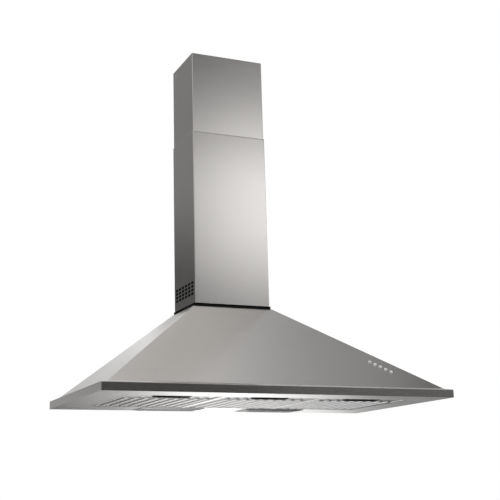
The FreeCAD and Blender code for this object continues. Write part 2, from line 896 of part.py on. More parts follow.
def volute(offset, half, mouth_top, tongue):
    # Four-centre spiral round the fan, opened into an upright neck. The offset is the wall outside it.
    g = scroll_growth
    r = scroll_first_radius + offset
    centres = [
        Vector(-half, fan_y - g / 2, fan_z - g / 2),
        Vector(-half, fan_y + g / 2, fan_z - g / 2),
        Vector(-half, fan_y + g / 2, fan_z + g / 2),
    ]
    edges = []
    diagonal = math.sqrt(1 / 2)
    directions = [Vector(0, 0, 1), Vector(0, -1, 0), Vector(0, 0, -1), Vector(0, 1, 0)]
    for i, centre in enumerate(centres):
        radius = r + g * i
        start = centre + directions[i] * radius
        middle = centre + (directions[i] + directions[i + 1]) * radius * diagonal
        end = centre + directions[i + 1] * radius
        edges.append(Part.Arc(start, middle, end).toShape())
    back = end
    front_y = duct_middle - outlet_depth / 2 - offset
    top_back = Vector(-half, back.y, mouth_top)
    top_front = Vector(-half, front_y, mouth_top)
    first = centres[0] + directions[0] * r
    edges.append(Part.makeLine(back, top_back))
    edges.append(Part.makeLine(top_back, top_front))
    if tongue:
        turn = front_y - first.y
        foot = Vector(-half, front_y, first.z + turn)
        middle = Vector(-half, first.y + turn * diagonal, first.z + turn * (1 - diagonal))
        edges.append(Part.makeLine(top_front, foot))
        edges.append(Part.Arc(foot, middle, first).toShape())
    else:
        foot = Vector(-half, front_y, first.z)
        edges.append(Part.makeLine(top_front, foot))
        edges.append(Part.makeLine(foot, first))
    return Part.Face(Part.Wire(edges)).extrude(Vector(half * 2, 0, 0))


def scroll_body(offset, half):
    return volute(offset, half, deck_bottom + (overrun if offset == 0 else 0), offset == 0)


def scroll_half(side):
    # One moulded half of the scroll housing: air inlet on the left, motor on the right.
    neck_half = scroll_side + scroll_neck_flange
    flange = box(
        (-neck_half, neck_half),
        (duct_middle - outlet_depth / 2 - scroll_wall, duct_middle + outlet_depth / 2 + scroll_wall),
        (deck_bottom - scroll_wall, deck_bottom),
    )
    axis = Vector(1, 0, 0)
    hub = Vector(0, fan_y, fan_z)
    shapes = [scroll_body(scroll_wall, scroll_side), flange]
    port_radius = inlet_radius if side < 0 else shaft_radius + motor_boss_gap
    port = rod(port_radius, scroll_side + overrun, hub, axis * side)
    cuts = [scroll_body(0, scroll_half_width), port]
    reach = scroll_side * 2
    keep = (-reach, 0) if side < 0 else (0, reach)
    shell = fuse_all(shapes).common(box(keep, (-hood_depth, 0), (0, pyramid_top)))
    return cut_all(shell, cuts)


def fan_wheel():
    # Forward-curved wheel: blades stand on a back disc and are tied by a ring at the inlet.
    axis = Vector(0, 0, 1)
    length = fan_half_width * 2
    chord = (fan_radius - fan_inner_radius) / 2
    middle = (fan_radius + fan_inner_radius) / 2
    camber = chord * fan_camber_share
    t = fan_blade_thickness
    profile = [
        Vector(middle - chord, 0, 0), Vector(middle, camber, 0), Vector(middle + chord, 0, 0),
        Vector(middle + chord, -t, 0), Vector(middle, camber - t, 0), Vector(middle - chord, -t, 0),
    ]
    blade = polygon(profile).extrude(axis * (length - fan_ring_thickness))
    blades = []
    for i in range(fan_blades):
        turn = blade.copy()
        turn.rotate(Vector(0, 0, 0), axis, 360 * i / fan_blades)
        blades.append(turn)
    rim = fan_radius + fan_ring_thickness
    low = length - fan_ring_thickness
    eye = flat_sided([(fan_inner_radius, low - overrun), (fan_inner_radius, length + overrun)], fan_blades)
    ring = flat_sided([(rim, low), (rim, length)], fan_blades).cut(eye)
    disc = flat_sided([(rim, 0), (rim, fan_disc_thickness)], fan_blades)
    hub = hexagon(fan_hub_width, fan_hub_length, Vector(0, 0, 0))
    bore = rod(shaft_radius, length + overrun, axis * -overrun)
    wheel = fuse_all([disc, hub, ring] + blades).cut(bore)
    return placed(wheel, Vector(fan_half_width, fan_y, fan_z), Vector(0, 1, 0), Vector(-1, 0, 0))


def along_fan_axis(shape):
    # Parts turned about Z are laid on the fan's axis, with Z to the right.
    return placed(shape, Vector(0, fan_y, fan_z), Vector(0, 1, 0), Vector(1, 0, 0))


def motor_shaft():
    return along_fan_axis(rod(shaft_radius, shaft_tail + motor_face - shaft_tip, Vector(0, 0, shaft_tip)))


def motor():
    # Motor can on a square flange, bored for its shaft.
    half = motor_flange / 2
    flange = box((-half, half), (-half, half), (motor_face, motor_face + motor_flange_sheet))
    can = rod(motor_radius, motor_length, Vector(0, 0, motor_face))
    bore_depth = shaft_tail + moving_gap + overrun
    bore = rod(shaft_radius + running_gap, bore_depth, Vector(0, 0, motor_face - overrun))
    return along_fan_axis(fuse_all([flange, can]).cut(bore))


# outlet

def outlet_collar():
    # Square flange on the deck with the round duct spigot and the flaps' stops and middle bar.
    wall = collar_wall
    low = deck_top + wall
    inner = duct_radius - wall
    flange = box(
        (-collar_flange_x, collar_flange_x),
        (duct_middle - collar_flange_y, duct_middle + collar_flange_y), (deck_top, low),
    )
    spigot = rod(duct_radius, collar_top - low, Vector(0, duct_middle, low))
    bore = flat_sided([(inner, deck_top - overrun), (inner, collar_top + overrun)], flap_sides)
    bore.translate(Vector(0, duct_middle, 0))
    body = fuse_all([flange, spigot]).cut(bore)
    stop_top = flap_axis_height - flap_thickness / 2 - moving_gap
    reach = duct_radius - wall / 2
    spine = box(
        (-reach, reach), (duct_middle - spine_half_width, duct_middle + spine_half_width),
        (stop_top - flap_stop_height, flap_axis_height + flap_pin_radius),
    )
    stops = []
    for side in (-1, 1):
        near = duct_middle + side * (inner - flap_stop_width - flap_edge_gap)
        far = duct_middle + side * reach
        span = (min(near, far), max(near, far))
        stops.append(box((-flap_stop_half, flap_stop_half), span, (stop_top - flap_stop_height, stop_top)))
    ring_room = rod(duct_radius, collar_top, Vector(0, duct_middle, deck_top))
    body = fuse_all([body, spine.common(ring_room)] + [stop.common(ring_room) for stop in stops])
    holes = []
    for side in (-1, 1):
        start = Vector(-duct_radius - overrun, duct_middle + side * flap_axis_offset, flap_axis_height)
        length = (duct_radius + overrun) * 2
        holes.append(rod(flap_pin_radius + running_gap, length, start, Vector(1, 0, 0)))
    return cut_all(body, holes)


def damper_flap(side):
    # Half disc on its own pin. It lies on the collar's stop and lifts with the air.
    radius = duct_radius - collar_wall - flap_edge_gap
    z = flap_axis_height
    low = z - flap_thickness / 2
    disc = flat_sided([(radius, low), (radius, low + flap_thickness)], flap_sides)
    disc.translate(Vector(0, duct_middle, 0))
    y = duct_middle + side * flap_axis_offset
    keep = (y, duct_middle + side * duct_radius)
    room = box((-duct_radius, duct_radius), (min(keep), max(keep)), (low, low + flap_thickness))
    half = disc.common(room)
    pin_half = duct_radius - moving_gap
    pin = rod(flap_pin_radius, pin_half * 2, Vector(-pin_half, y, z), Vector(1, 0, 0))
    return fuse_all([half, pin])


# electrics

def cable_gland():
    # Snap-in bushing for the mains lead: a square neck through the deck and a wider foot below it.
    neck, foot = gland_neck / 2, gland_foot / 2
    low = -deck_sheet - gland_foot_height
    parts = [
        box((-neck, neck), (-neck, neck), (low, 0)),
        box((-foot, foot), (-neck, neck), (low, -deck_sheet)),
        hexagon(gland_width, gland_flange_height, Vector(0, 0, 0)),
        hexagon(gland_dome_width, gland_dome_height, Vector(0, 0, gland_flange_height)),
    ]
    top = gland_flange_height + gland_dome_height
    body = fuse_all(parts).cut(rod(gland_bore, top - low + overrun * 2, Vector(0, 0, low - overrun)))
    body.translate(Vector(-gland_x, -gland_from_wall, deck_top))
    return body


def junction_box():
    # Open-fronted connection box on the back panel.
    x0 = -junction_x - junction_width / 2
    x1 = x0 + junction_width
    z0, z1 = junction_low, junction_low + junction_height
    front = -back_sheet - junction_depth
    wall = junction_wall
    shell = box((x0, x1), (front, -back_sheet), (z0, z1))
    y_span = (front - overrun, -back_sheet - wall)
    return shell.cut(box((x0 + wall, x1 - wall), y_span, (z0 + wall, z1 - wall)))


def junction_lid():
    x0 = -junction_x - junction_width / 2
    x1 = x0 + junction_width
    z0, z1 = junction_low, junction_low + junction_height
    front = -back_sheet - junction_depth
    wall = junction_wall
    plate = box((x0, x1), (front - wall, front), (z0, z1))
    inset = wall + moving_gap
    spigot = box((x0 + inset, x1 - inset), (front, front + wall), (z0 + inset, z1 - inset))
    return fuse_all([plate, spigot])


def capacitor():
    # Motor capacitor, standing on the connection box with its terminals up.
    can = flat_sided([(capacitor_radius, 0), (capacitor_radius, capacitor_length)], capacitor_sides)
    t = capacitor_terminal
    terminals = box((-t, t), (-t / 2, t / 2), (capacitor_length, capacitor_length + t * 2))
    body = fuse_all([can, terminals])
    x = -junction_x + junction_width / 2 - capacitor_radius
    body.translate(Vector(x, -back_sheet - junction_depth / 2, junction_low + junction_height))
    return body


# controls

def push_button(place, outward, along):
    # Round cap on a square stem, with a foot that keeps it under the guide.
    rim = button_proud - button_bevel
    cap = flat_sided([
        (button_radius, -canopy_sheet), (button_radius, rim), (button_radius - button_bevel, button_proud),
    ], button_sides)
    half = button_stem / 2
    foot = half + button_foot_reach
    guide_low = -canopy_sheet - carrier_drop - carrier_thickness
    stem = box((-half, half), (-half, half), (-button_stem_length, -canopy_sheet))
    foot_top = guide_low - moving_gap
    keeper = box((-foot, foot), (-foot, foot), (foot_top - button_foot_height, foot_top))
    return placed(fuse_all([cap, stem, keeper]), place, along, outward)


def control_local():
    # Local frame of the control row: middle of the row, direction along it and outward normal.
    places, along, outward = button_places()
    return (places[0] + places[-1]) / 2, along, outward


def row_positions():
    return [button_pitch * (i - (button_count - 1) / 2) for i in range(button_count)]


def button_carrier():
    # Moulded guide under the skin with a square hole for each stem and a leg at each end.
    half = button_pitch * (button_count - 1) / 2 + carrier_end
    side = carrier_width / 2
    top = -canopy_sheet
    low = top - carrier_drop - carrier_thickness
    board_top = -button_stem_length - button_travel - board_gap
    body = box((-half, half), (-side, side), (board_top, top))
    x_span = (-half + carrier_leg, half - carrier_leg)
    y_span = (-side - overrun, side + overrun)
    above = box(x_span, y_span, (top - carrier_drop, top + overrun))
    below = box(x_span, y_span, (board_top - overrun, low))
    hole = button_stem / 2 + moving_gap
    holes = [box((x - hole, x + hole), (-hole, hole), (low - overrun, top)) for x in row_positions()]
    middle, along, outward = control_local()
    return placed(cut_all(body, [above, below] + holes), middle, along, outward)


def switch_board():
    # Board with a small switch under each button, on the carrier's legs.
    half = button_pitch * (button_count - 1) / 2 + carrier_end
    side = carrier_width / 2
    top = -button_stem_length - button_travel - board_gap
    board_top = top - switch_height
    reach = switch_size / 2
    board = box((-half, half), (-side, side), (board_top - board_thickness, board_top))
    posts = [
        box((-half, -half + carrier_leg), (-side, side), (board_top, top)),
        box((half - carrier_leg, half), (-side, side), (board_top, top)),
    ]
    switches = [
        box((x - reach, x + reach), (-reach, reach), (board_top, top)) for x in row_positions()
    ]
    middle, along, outward = control_local()
    return placed(fuse_all([board] + posts + switches), middle, along, outward)


def main():
    save("canopy_skin", canopy_skin())
    save("rim_frame", rim_frame())
    save("back_panel", back_panel())
    save("chimney_seal", chimney_seal())
    save("lower_chimney", lower_chimney())
    save("upper_chimney", upper_chimney())
    save("chimney_bracket", chimney_bracket())
    save("bottom_pan", bottom_pan())
    save("filter_rail_left", filter_rail(-1))
    save("filter_rail_right", filter_rail(1))
    for i, name in enumerate(filter_names):
        middle = filter_pitch * (i - (filter_count - 1) / 2)
        save(name + "_frame", filter_frame(middle))
        save(name + "_face", filter_face(middle))
        save(name + "_mesh", filter_mesh(middle))
        save(name + "_latch", filter_latch(middle))
        save(name + "_spring", latch_spring(middle))
    for side, middle in zip(("left", "right"), lamp_middles()):
        save(side + "_lamp_bezel", lamp_bezel(middle))
        save(side + "_lamp_lens", lamp_lens(middle))
        save(side + "_lamp_tray", lamp_tray(middle))
        save(side + "_lamp_socket", lamp_socket(middle))
        save(side + "_lamp_bulb", lamp_bulb(middle))
    save("blower_deck", blower_deck())
    save("scroll_left", scroll_half(-1))
    save("scroll_right", scroll_half(1))
    save("fan_wheel", fan_wheel())
    save("motor_shaft", motor_shaft())
    save("motor", motor())
    save("outlet_collar", outlet_collar())
    save("damper_flap_front", damper_flap(-1))
    save("damper_flap_rear", damper_flap(1))
    save("cable_gland", cable_gland())
    save("junction_box", junction_box())
    save("junction_lid", junction_lid())
    save("capacitor", capacitor())
    places, along, outward = button_places()
    for i, place in enumerate(places):
        save("push_button_" + str(i + 1), push_button(place, outward, along))
    save("button_carrier", button_carrier())
    save("switch_board", switch_board())


main()
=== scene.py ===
import json
import math

import bmesh
import bpy
import numpy as np
from mathutils import Matrix, Vector


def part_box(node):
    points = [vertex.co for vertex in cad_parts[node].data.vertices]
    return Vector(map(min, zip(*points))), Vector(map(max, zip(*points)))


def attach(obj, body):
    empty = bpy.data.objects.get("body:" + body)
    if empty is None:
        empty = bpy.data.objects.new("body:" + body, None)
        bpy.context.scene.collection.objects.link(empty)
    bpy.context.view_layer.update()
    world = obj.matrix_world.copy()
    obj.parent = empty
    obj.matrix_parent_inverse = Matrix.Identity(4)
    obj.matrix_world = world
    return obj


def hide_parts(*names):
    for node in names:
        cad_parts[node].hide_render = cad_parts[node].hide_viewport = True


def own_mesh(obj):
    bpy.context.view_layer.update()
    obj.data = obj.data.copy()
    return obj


# A wall-hung chimney range hood. Settings are in millimetres and degrees, meshes in metres.
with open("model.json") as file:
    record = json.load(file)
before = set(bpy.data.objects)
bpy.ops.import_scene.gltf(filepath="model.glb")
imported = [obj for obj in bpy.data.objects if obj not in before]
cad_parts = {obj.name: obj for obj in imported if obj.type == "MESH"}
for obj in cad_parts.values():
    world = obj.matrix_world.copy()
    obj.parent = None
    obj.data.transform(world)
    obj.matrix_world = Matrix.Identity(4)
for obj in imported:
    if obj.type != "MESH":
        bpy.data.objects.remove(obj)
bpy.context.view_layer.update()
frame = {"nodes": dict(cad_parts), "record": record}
nodes = frame["nodes"]
mm = 0.001
alongX, alongY, alongZ = np.eye(3)
leastRadius = 0.3  # an inner corner is never sharper
sharpAngle = 32  # edges turn sharp beyond it
weldGap = 0.001  # nearer points become one
slabChamfer = 0.3  # at most
slots = {row["node"]: row["material_slot"] for row in frame["record"]["subparts"]}
print("frame loaded:", len(nodes), "nodes")


def nodeBox(name):
    # Lowest and highest corner of a node, in millimetres.
    low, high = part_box(name)
    return np.array(low) / mm, np.array(high) / mm


# meshes

def gridFaces(countU, countV, wrapU=False, wrapV=False):
    # Each quad joins a point of the grid to its neighbours along both parameters.
    u = np.arange(countU if wrapU else countU - 1)
    v = np.arange(countV if wrapV else countV - 1)
    uu, vv = np.meshgrid(u, v, indexing="ij")
    nextU, nextV = (uu + 1) % countU, (vv + 1) % countV
    corners = [uu * countV + vv, nextU * countV + vv, nextU * countV + nextV, uu * countV + nextV]
    return np.stack(corners, axis=-1).reshape(-1, 4)


def surface(points, wrapU=False, wrapV=False, keep=None):
    # A grid of points (u, v, 3) with its quads. keep marks the quads that stay.
    faces = gridFaces(points.shape[0], points.shape[1], wrapU, wrapV)
    if keep is not None:
        faces = faces[keep.ravel()]
    return points.reshape(-1, 3), faces


def pack(*values):
    # Coordinates, broadcast to one shape and joined to points.
    return np.stack(np.broadcast_arrays(*values), axis=-1)


def mirrored(half, height):
    # The left half of level outlines, followed by its mirror image.
    flat = np.vstack([half, half[::-1] * np.array([-1, 1])])
    return pack(flat[..., 0], flat[..., 1], height)


def newMesh(name, points, faces):
    mesh = bpy.data.meshes.new(name)
    mesh.from_pydata(points.tolist(), [], faces.tolist())
    return mesh


def addObject(name, data):
    thing = bpy.data.objects.new(name, data)
    bpy.context.scene.collection.objects.link(thing)
    return thing


def applyModifiers(piece, sharp):
    # Swaps the mesh for its evaluated form, then smooths all but its sharp edges.
    bpy.context.view_layer.update()
    evaluated = piece.evaluated_get(bpy.context.evaluated_depsgraph_get())
    mesh = bpy.data.meshes.new_from_object(evaluated)
    piece.modifiers.clear()
    piece.data = mesh
    mesh.shade_smooth()
    mesh.set_sharp_from_angle(angle=math.radians(sharp))


def makePiece(name, surfaces, stands="", body="hood", slotName="", finish="", fill=False, sheet=0,
              sharp=sharpAngle):
    # Joins surfaces into one mesh, welds its seams and gives it a body, a slot and the slot's finish.
    # stands is the node it replaces, whose slot it takes. sheet is the wall that an open surface gets.
    slotName = slotName or slots[stands]
    points, faces, count = [], [], 0
    for spots, quads in surfaces:
        points.append(spots)
        faces.append(quads + count)
        count += len(spots)
    mesh = newMesh(name, np.vstack(points) * mm, np.vstack(faces))
    work = bmesh.new()
    work.from_mesh(mesh)
    bmesh.ops.remove_doubles(work, verts=work.verts, dist=weldGap * mm)
    bmesh.ops.delete(work, geom=[v for v in work.verts if not v.link_faces], context="VERTS")
    if fill:
        bmesh.ops.holes_fill(work, edges=[e for e in work.edges if e.is_boundary], sides=0)
    if not sheet:
        bmesh.ops.recalc_face_normals(work, faces=work.faces)
    work.to_mesh(mesh)
    work.free()
    mesh.materials.append(finishes[finish or finishOf(slotName)])
    piece = addObject(name, mesh)
    if sheet:
        wall = piece.modifiers.new("wall", "SOLIDIFY")
        wall.thickness = sheet * mm
        wall.offset = -1
        wall.use_even_offset = True
    applyModifiers(piece, sharp)
    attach(piece, body)
    if stands:
        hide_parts(stands)
    return piece


def threeSides(halfX, front, radius, height, back, steps=6, hold=4):
    # Level outlines open to the wall: left side, rounded corner, front, rounded corner, right side.
    # hold is how far beside a corner the next point lies.
    halfX, front, radius, height = np.broadcast_arrays(halfX, front, radius, height)
    turn = np.linspace(0, math.pi / 2, steps + 1)[:, None]
    innerX, innerY = halfX - radius, radius - front
    left = pack(-innerX - radius * np.cos(turn), innerY - radius * np.sin(turn))
    wall = pack(-halfX, back)[None]
    beside = pack(-halfX, innerY + hold)[None]
    before = pack(-innerX + hold, -front)[None]
    return mirrored(np.vstack([wall, beside, left, before]), height)


def ringAround(centre, halfX, halfY, radius, height, steps=5):
    # Closed level outlines round a centre: rectangles with rounded corners, one for each value of v.
    halfX, halfY, radius, height = np.broadcast_arrays(halfX, halfY, radius, height)
    corners = []
    for quarter, (signX, signY) in enumerate([(1, 1), (-1, 1), (-1, -1), (1, -1)]):
        turn = (np.linspace(0, 1, steps + 1) + quarter)[:, None] * math.pi / 2
        x = centre[0] + signX * (halfX - radius) + radius * np.cos(turn)
        y = centre[1] + signY * (halfY - radius) + radius * np.sin(turn)
        corners.append(pack(x, y, height))
    return np.vstack(corners)


def turned(profile, centre, axis, side, steps=32, closed=False, lobes=0):
    # A profile of (radius, distance along the axis) turned round the axis. lobes swell each
    # radius four times a turn, as in a cross recess.
    profile = np.array(profile, float)
    lobes = np.broadcast_to(lobes, len(profile))
    turn = (np.arange(steps) / steps * math.tau)[:, None, None]
    radial = np.cos(turn) * side + np.sin(turn) * np.cross(axis, side)
    radius = profile[None, :, :1] * (1 + lobes[None, :, None] * np.cos(4 * turn))
    points = np.array(centre, float) + radial * radius + axis * profile[None, :, 1:]
    return surface(points, wrapU=True, wrapV=closed)


def plate(centre, halfA, halfB, corner, levels, order=(0, 1, 2)):
    # Flat slab with rounded corners and a small chamfer. order says which axes A, B and the height are.
    low, high = levels
    chamfer = min(slabChamfer, (high - low) / 4)
    inset = np.array([chamfer, 0, 0, chamfer])
    height = np.array([low, low + chamfer, high - chamfer, high])
    points = ringAround(centre, halfA - inset, halfB - inset, corner - inset, height)
    places = np.empty_like(points)
    places[..., list(order)] = points
    ends = places[:, [0, -1]].mean(axis=0, keepdims=True).repeat(len(places), axis=0)
    return surface(np.hstack([ends[:, :1], places, ends[:, 1:]]), wrapU=True)


def manyOf(points, wrapU=False, wrapV=False):
    # The same grid repeated: points is (copies, u, v, 3).
    copies, countU, countV = points.shape[:3]
    shift = np.arange(copies)[:, None, None] * countU * countV
    quads = gridFaces(countU, countV, wrapU, wrapV)[None] + shift
    return points.reshape(-1, 3), quads.reshape(-1, 4)


def barAlong(path, profile, across, up, shrink=1):
    # A closed profile of (across, up) points carried along a path, shrunk at each of its points.
    scale = np.broadcast_to(shrink, len(path))[:, None, None]
    offsets = np.array(profile, float)[None] * scale
    points = np.array(path, float)[:, None] + offsets[..., :1] * across + offsets[..., 1:] * up
    return surface(points, wrapV=True)


def roundedOutline(halfA, halfB, power, count):
    # Superellipse: nearer to a rectangle as the power grows.
    turn = np.arange(count) / count * math.tau
    a = np.sign(np.cos(turn)) * np.abs(np.cos(turn)) ** (2 / power) * halfA
    b = np.sign(np.sin(turn)) * np.abs(np.sin(turn)) ** (2 / power) * halfB
    return pack(a, b)


def bend(start, control, end, steps):
    # Quadratic curve between two points that leaves and arrives along the control point's legs.
    t = np.linspace(0, 1, steps + 1)[:, None]
    start, control, end = (np.array(p, float) for p in (start, control, end))
    return (1 - t) ** 2 * start + 2 * t * (1 - t) * control + t ** 2 * end


# materials

def feed(tree, node, values):
    # Gives a node's inputs, by name or number, plain values or the outputs of other nodes.
    for key, value in values.items():
        if isinstance(value, bpy.types.NodeSocket):
            tree.links.new(value, node.inputs[key])
        else:
            node.inputs[key].default_value = value


def addNode(tree, kind, values, output=0, **settings):
    # Makes a node and gives back one of its outputs, by name or number.
    node = tree.nodes.new(kind)
    for key, value in settings.items():
        setattr(node, key, value)
    feed(tree, node, values)
    return node.outputs[output]


def calculate(tree, operation, *values):
    # A Math node's result.
    return addNode(tree, "ShaderNodeMath", dict(enumerate(values)), operation=operation)


def triple(value):
    # One number stands for three alike.
    return value if isinstance(value, tuple) else (value,) * 3


def objectNoise(tree, stretch, detail):
    # Noise on Object coordinates. stretch gives cycles per metre, alike or along X, Y and Z.
    place = addNode(tree, "ShaderNodeTexCoord", {}, "Object")
    mapped = addNode(tree, "ShaderNodeMapping", {"Vector": place, "Scale": triple(stretch)})
    return addNode(tree, "ShaderNodeTexNoise", {"Vector": mapped, "Scale": 1, "Detail": detail}, "Fac")


def spread(tree, source, low, high):
    # Maps the middle of a noise to a range of values.
    ends = {"From Min": 0.3, "From Max": 0.7, "To Min": low, "To Max": high}
    return addNode(tree, "ShaderNodeMapRange", {"Value": source, **ends}, "Result")


def newMaterial(name):
    material = bpy.data.materials.new(name)
    material.use_nodes = True
    return material, material.node_tree


def finishMaterial(name, dark, light, roughness, grain, bump, sockets=None, broad=6, share=0.4):
    # A base colour and roughness that wander with broad noise, and a fine grain that also moves the surface.
    material, tree = newMaterial(name)
    wide, fine = objectNoise(tree, broad, 2), objectNoise(tree, grain, 3)
    mixed = calculate(tree, "ADD", calculate(tree, "MULTIPLY", wide, share),
                      calculate(tree, "MULTIPLY", fine, 1 - share))
    colors = {0: spread(tree, mixed, 0, 1), 6: (*triple(dark), 1), 7: (*triple(light), 1)}
    relief = {"Strength": 1, "Distance": bump * mm, "Height": fine}
    feed(tree, tree.nodes["Principled BSDF"], {
        **(sockets or {}), "Base Color": addNode(tree, "ShaderNodeMix", colors, 2, data_type="RGBA"),
        "Roughness": spread(tree, mixed, *roughness), "Normal": addNode(tree, "ShaderNodeBump", relief)})
    return material


# Each look is named after the record's slot that it finishes: dark and light colour, range of roughness,
# grain in cycles per metre, bump in millimetres, other sockets, broad noise and its share.
looks = {
    "brushedSteel": ((0.612, 0.594, 0.577), (0.652, 0.633, 0.615), (0.2, 0.25), (6, 6, 1300), 0.0016,
                     {"Metallic": 1}, (3, 3, 9), 0.3),
    "levelSteel": ((0.62, 0.603, 0.586), (0.66, 0.642, 0.624), (0.2, 0.25), (6, 1300, 6), 0.0016,
                   {"Metallic": 1}, (3, 9, 3), 0.3),
    "zincSteel": ((0.44, 0.46, 0.47), (0.62, 0.64, 0.65), (0.38, 0.52), 160, 0.02, {"Metallic": 0.9}, 40),
    "sealRubber": (0.002, 0.005, (0.6, 0.8), 1800, 0.01, {"Specular IOR Level": 0.1}),
    "filterAluminium": ((0.7, 0.7, 0.705), (0.8, 0.8, 0.805), (0.24, 0.31), (900, 12, 900), 0.002,
                        {"Metallic": 1, "Specular Tint": (0.8, 0.785, 0.77, 1)}, (20, 4, 20), 0.5),
    "meshAluminium": ((0.48, 0.48, 0.49), (0.66, 0.66, 0.67), (0.3, 0.45), 700, 0.02, {"Metallic": 1}),
    "latchPlastic": (0.006, 0.011, (0.5, 0.62), 2500, 0.004, {"Specular IOR Level": 0.15}),
    "springSteel": ((0.42, 0.42, 0.43), (0.55, 0.55, 0.56), (0.22, 0.32), (30, 900, 900), 0.005,
                    {"Metallic": 1}),
    "bezelPlastic": ((0.58, 0.57, 0.56), (0.66, 0.65, 0.64), (0.17, 0.23), 1600, 0.003,
                     {"Metallic": 0.9, "Specular Tint": (0.4, 0.4, 0.4, 1)}),
    "lensGlass": (0.24, 0.31, (0.35, 0.45), 900, 0.004,
                  {"Transmission Weight": 0.35, "IOR": 1.49, "Specular IOR Level": 0.12}),
    "socketCeramic": ((0.76, 0.75, 0.7), (0.83, 0.82, 0.78), (0.2, 0.3), 400, 0.01),
    "bulbGlass": ((0.84, 0.83, 0.8), (0.9, 0.9, 0.87), (0.15, 0.22), 120, 0.005,
                  {"Transmission Weight": 0.3, "IOR": 1.5}),
    "housingPlastic": ((0.02, 0.02, 0.022), (0.036, 0.036, 0.038), (0.42, 0.56), 1500, 0.03),
    "wheelPlastic": ((0.64, 0.64, 0.61), (0.72, 0.72, 0.69), (0.4, 0.5), 900, 0.01),
    "shaftSteel": (0.62, 0.74, (0.12, 0.2), (1500, 20, 20), 0.004, {"Metallic": 1}),
    "motorMetal": ((0.2, 0.205, 0.21), (0.3, 0.305, 0.31), (0.42, 0.55), 600, 0.03, {"Metallic": 0.6}),
    "capacitorPlastic": ((0.74, 0.74, 0.72), (0.82, 0.82, 0.8), (0.25, 0.35), 500, 0.01),
    "buttonMetal": ((0.86, 0.855, 0.85), (0.93, 0.925, 0.92), (0.22, 0.32), 900, 0.004, {"Metallic": 0.45}),
    "boardGreen": ((0.02, 0.11, 0.05), (0.03, 0.16, 0.07), (0.25, 0.4), 500, 0.02),
    "screwSteel": ((0.5, 0.5, 0.49), (0.6, 0.6, 0.59), (0.25, 0.38), 800, 0.006, {"Metallic": 1}),
}
finishes = {name: finishMaterial(name, *look) for name, look in looks.items()}
print("materials made:", len(finishes))


def finishOf(slotName):
    # zinc_steel is finished with zincSteel.
    first, *rest = slotName.split("_")
    return first + "".join(word.capitalize() for word in rest)


levelNodes = ("bottom_pan", "filter_rail_left", "filter_rail_right")
for name, slotName in slots.items():
    materials = nodes[name].data.materials
    materials.clear()
    materials.append(finishes["levelSteel" if name in levelNodes else finishOf(slotName)])
print("nodes painted")


# canopy: rim and pyramid

rim = {"edge": 1.2, "corner": 1, "sheet": 1, "depth": 22, "hem": 0.6, "hold": 1}


def makeRim():
    # Front wall, rounded top fold and ledge, carried round three sides.
    low, high = nodeBox("rim_frame")
    half, front, top = high[0], -low[1], high[2]
    fold, hold = rim["edge"], rim["hold"]
    turn = np.linspace(0, math.pi / 2, 6)
    inset = np.hstack([0, 0, 0, fold * (1 - np.cos(turn)), fold + hold, rim["depth"]])
    height = np.hstack([0, rim["hem"], top - fold - hold, top - fold + fold * np.sin(turn), top, top])
    radius = np.maximum(rim["corner"] - inset, leastRadius)
    points = threeSides(half - inset, front - inset, radius, height, high[1])
    makePiece("rim_band", [surface(points)], "rim_frame", sheet=rim["sheet"])


canopy = {"topHalfX": 112, "topFront": 162, "sheet": 1, "corner": 2.5, "flare": 6, "flareRise": 4.5,
          "topFold": 2.2, "foldShare": 1.2, "flange": 8, "hold": 3, "flangeHold": 1}


def makeCanopy():
    # Four-sided pyramid without its back. Its foot flares onto the ledge and its top turns inward.
    s = canopy
    low, high = nodeBox("canopy_skin")
    rimTop = nodeBox("rim_frame")[1][2]
    foot = np.array([high[0], -low[1]])
    top = np.array([s["topHalfX"], s["topFront"]])

    def onSlope(z):
        return [*(foot + (top - foot) * (z - rimTop) / (high[2] - rimTop)), z]

    def atTop(inset):
        return np.array([*(top - inset), high[2]])

    start = rimTop + s["sheet"]
    tip = np.array(onSlope(start)) + [s["flare"], s["flare"], 0]
    flareTop, foldFoot = start + s["flareRise"], high[2] - s["topFold"]
    flare = bend(tip, onSlope(start), onSlope(flareTop), 7)
    hold = [onSlope(flareTop + s["hold"]), onSlope(foldFoot - s["hold"])]
    folded = s["topFold"] * s["foldShare"]
    fold = bend(onSlope(foldFoot), atTop(0), atTop(folded), 6)
    flange = [atTop(folded + s["flangeHold"]), atTop(s["flange"])]
    profile = np.vstack([flare, hold, fold, flange])
    radius = np.maximum(s["corner"] - np.maximum(top[0] - profile[:, 0], 0), leastRadius)
    points = threeSides(profile[:, 0], profile[:, 1], radius, profile[:, 2], high[1])
    return makePiece("canopy_sheet", [surface(points)], "canopy_skin", sheet=s["sheet"])


makeRim()
canopySheet = makeCanopy()
print("canopy made")


# chimney: two folded channels and black sheets behind the vent slots, painted shade for the inside of the
# chimney

chimney = {"sheet": 1, "bend": 2, "flange": 15, "hold": 1.5, "hem": 3, "hemInset": 0.4, "tolerance": 0.1}
vents = {"columns": 6, "rows": 4, "columnPitch": 23.4, "rowPitch": 9.8, "length": 16.8, "height": 6.8,
         "first": 21, "above": 28}


def channelOutline(halfX, front, back, height, marks=()):
    # Left flange, rounded back corner, side with its marks, rounded front corner, then all mirrored.
    halfX, front, height = np.broadcast_arrays(halfX, front, height)
    r, hold = chimney["bend"], chimney["hold"]
    turn = np.linspace(0, math.pi / 2, 7)[:, None]

    def row(x, y):
        # One point of every outline.
        return pack(x, y)[None]

    backBend = pack(-halfX + r - r * np.sin(turn), back - r + r * np.cos(turn))
    frontBend = pack(-halfX + r - r * np.cos(turn), -front + r - r * np.sin(turn))
    return mirrored(np.vstack([
        row(-halfX + chimney["flange"], back), row(-halfX + r + hold, back), backBend,
        row(-halfX, back - r - hold), *(row(-halfX, mark) for mark in marks),
        row(-halfX, -front + r + hold), frontBend, row(-halfX + r + hold, -front)]), height)


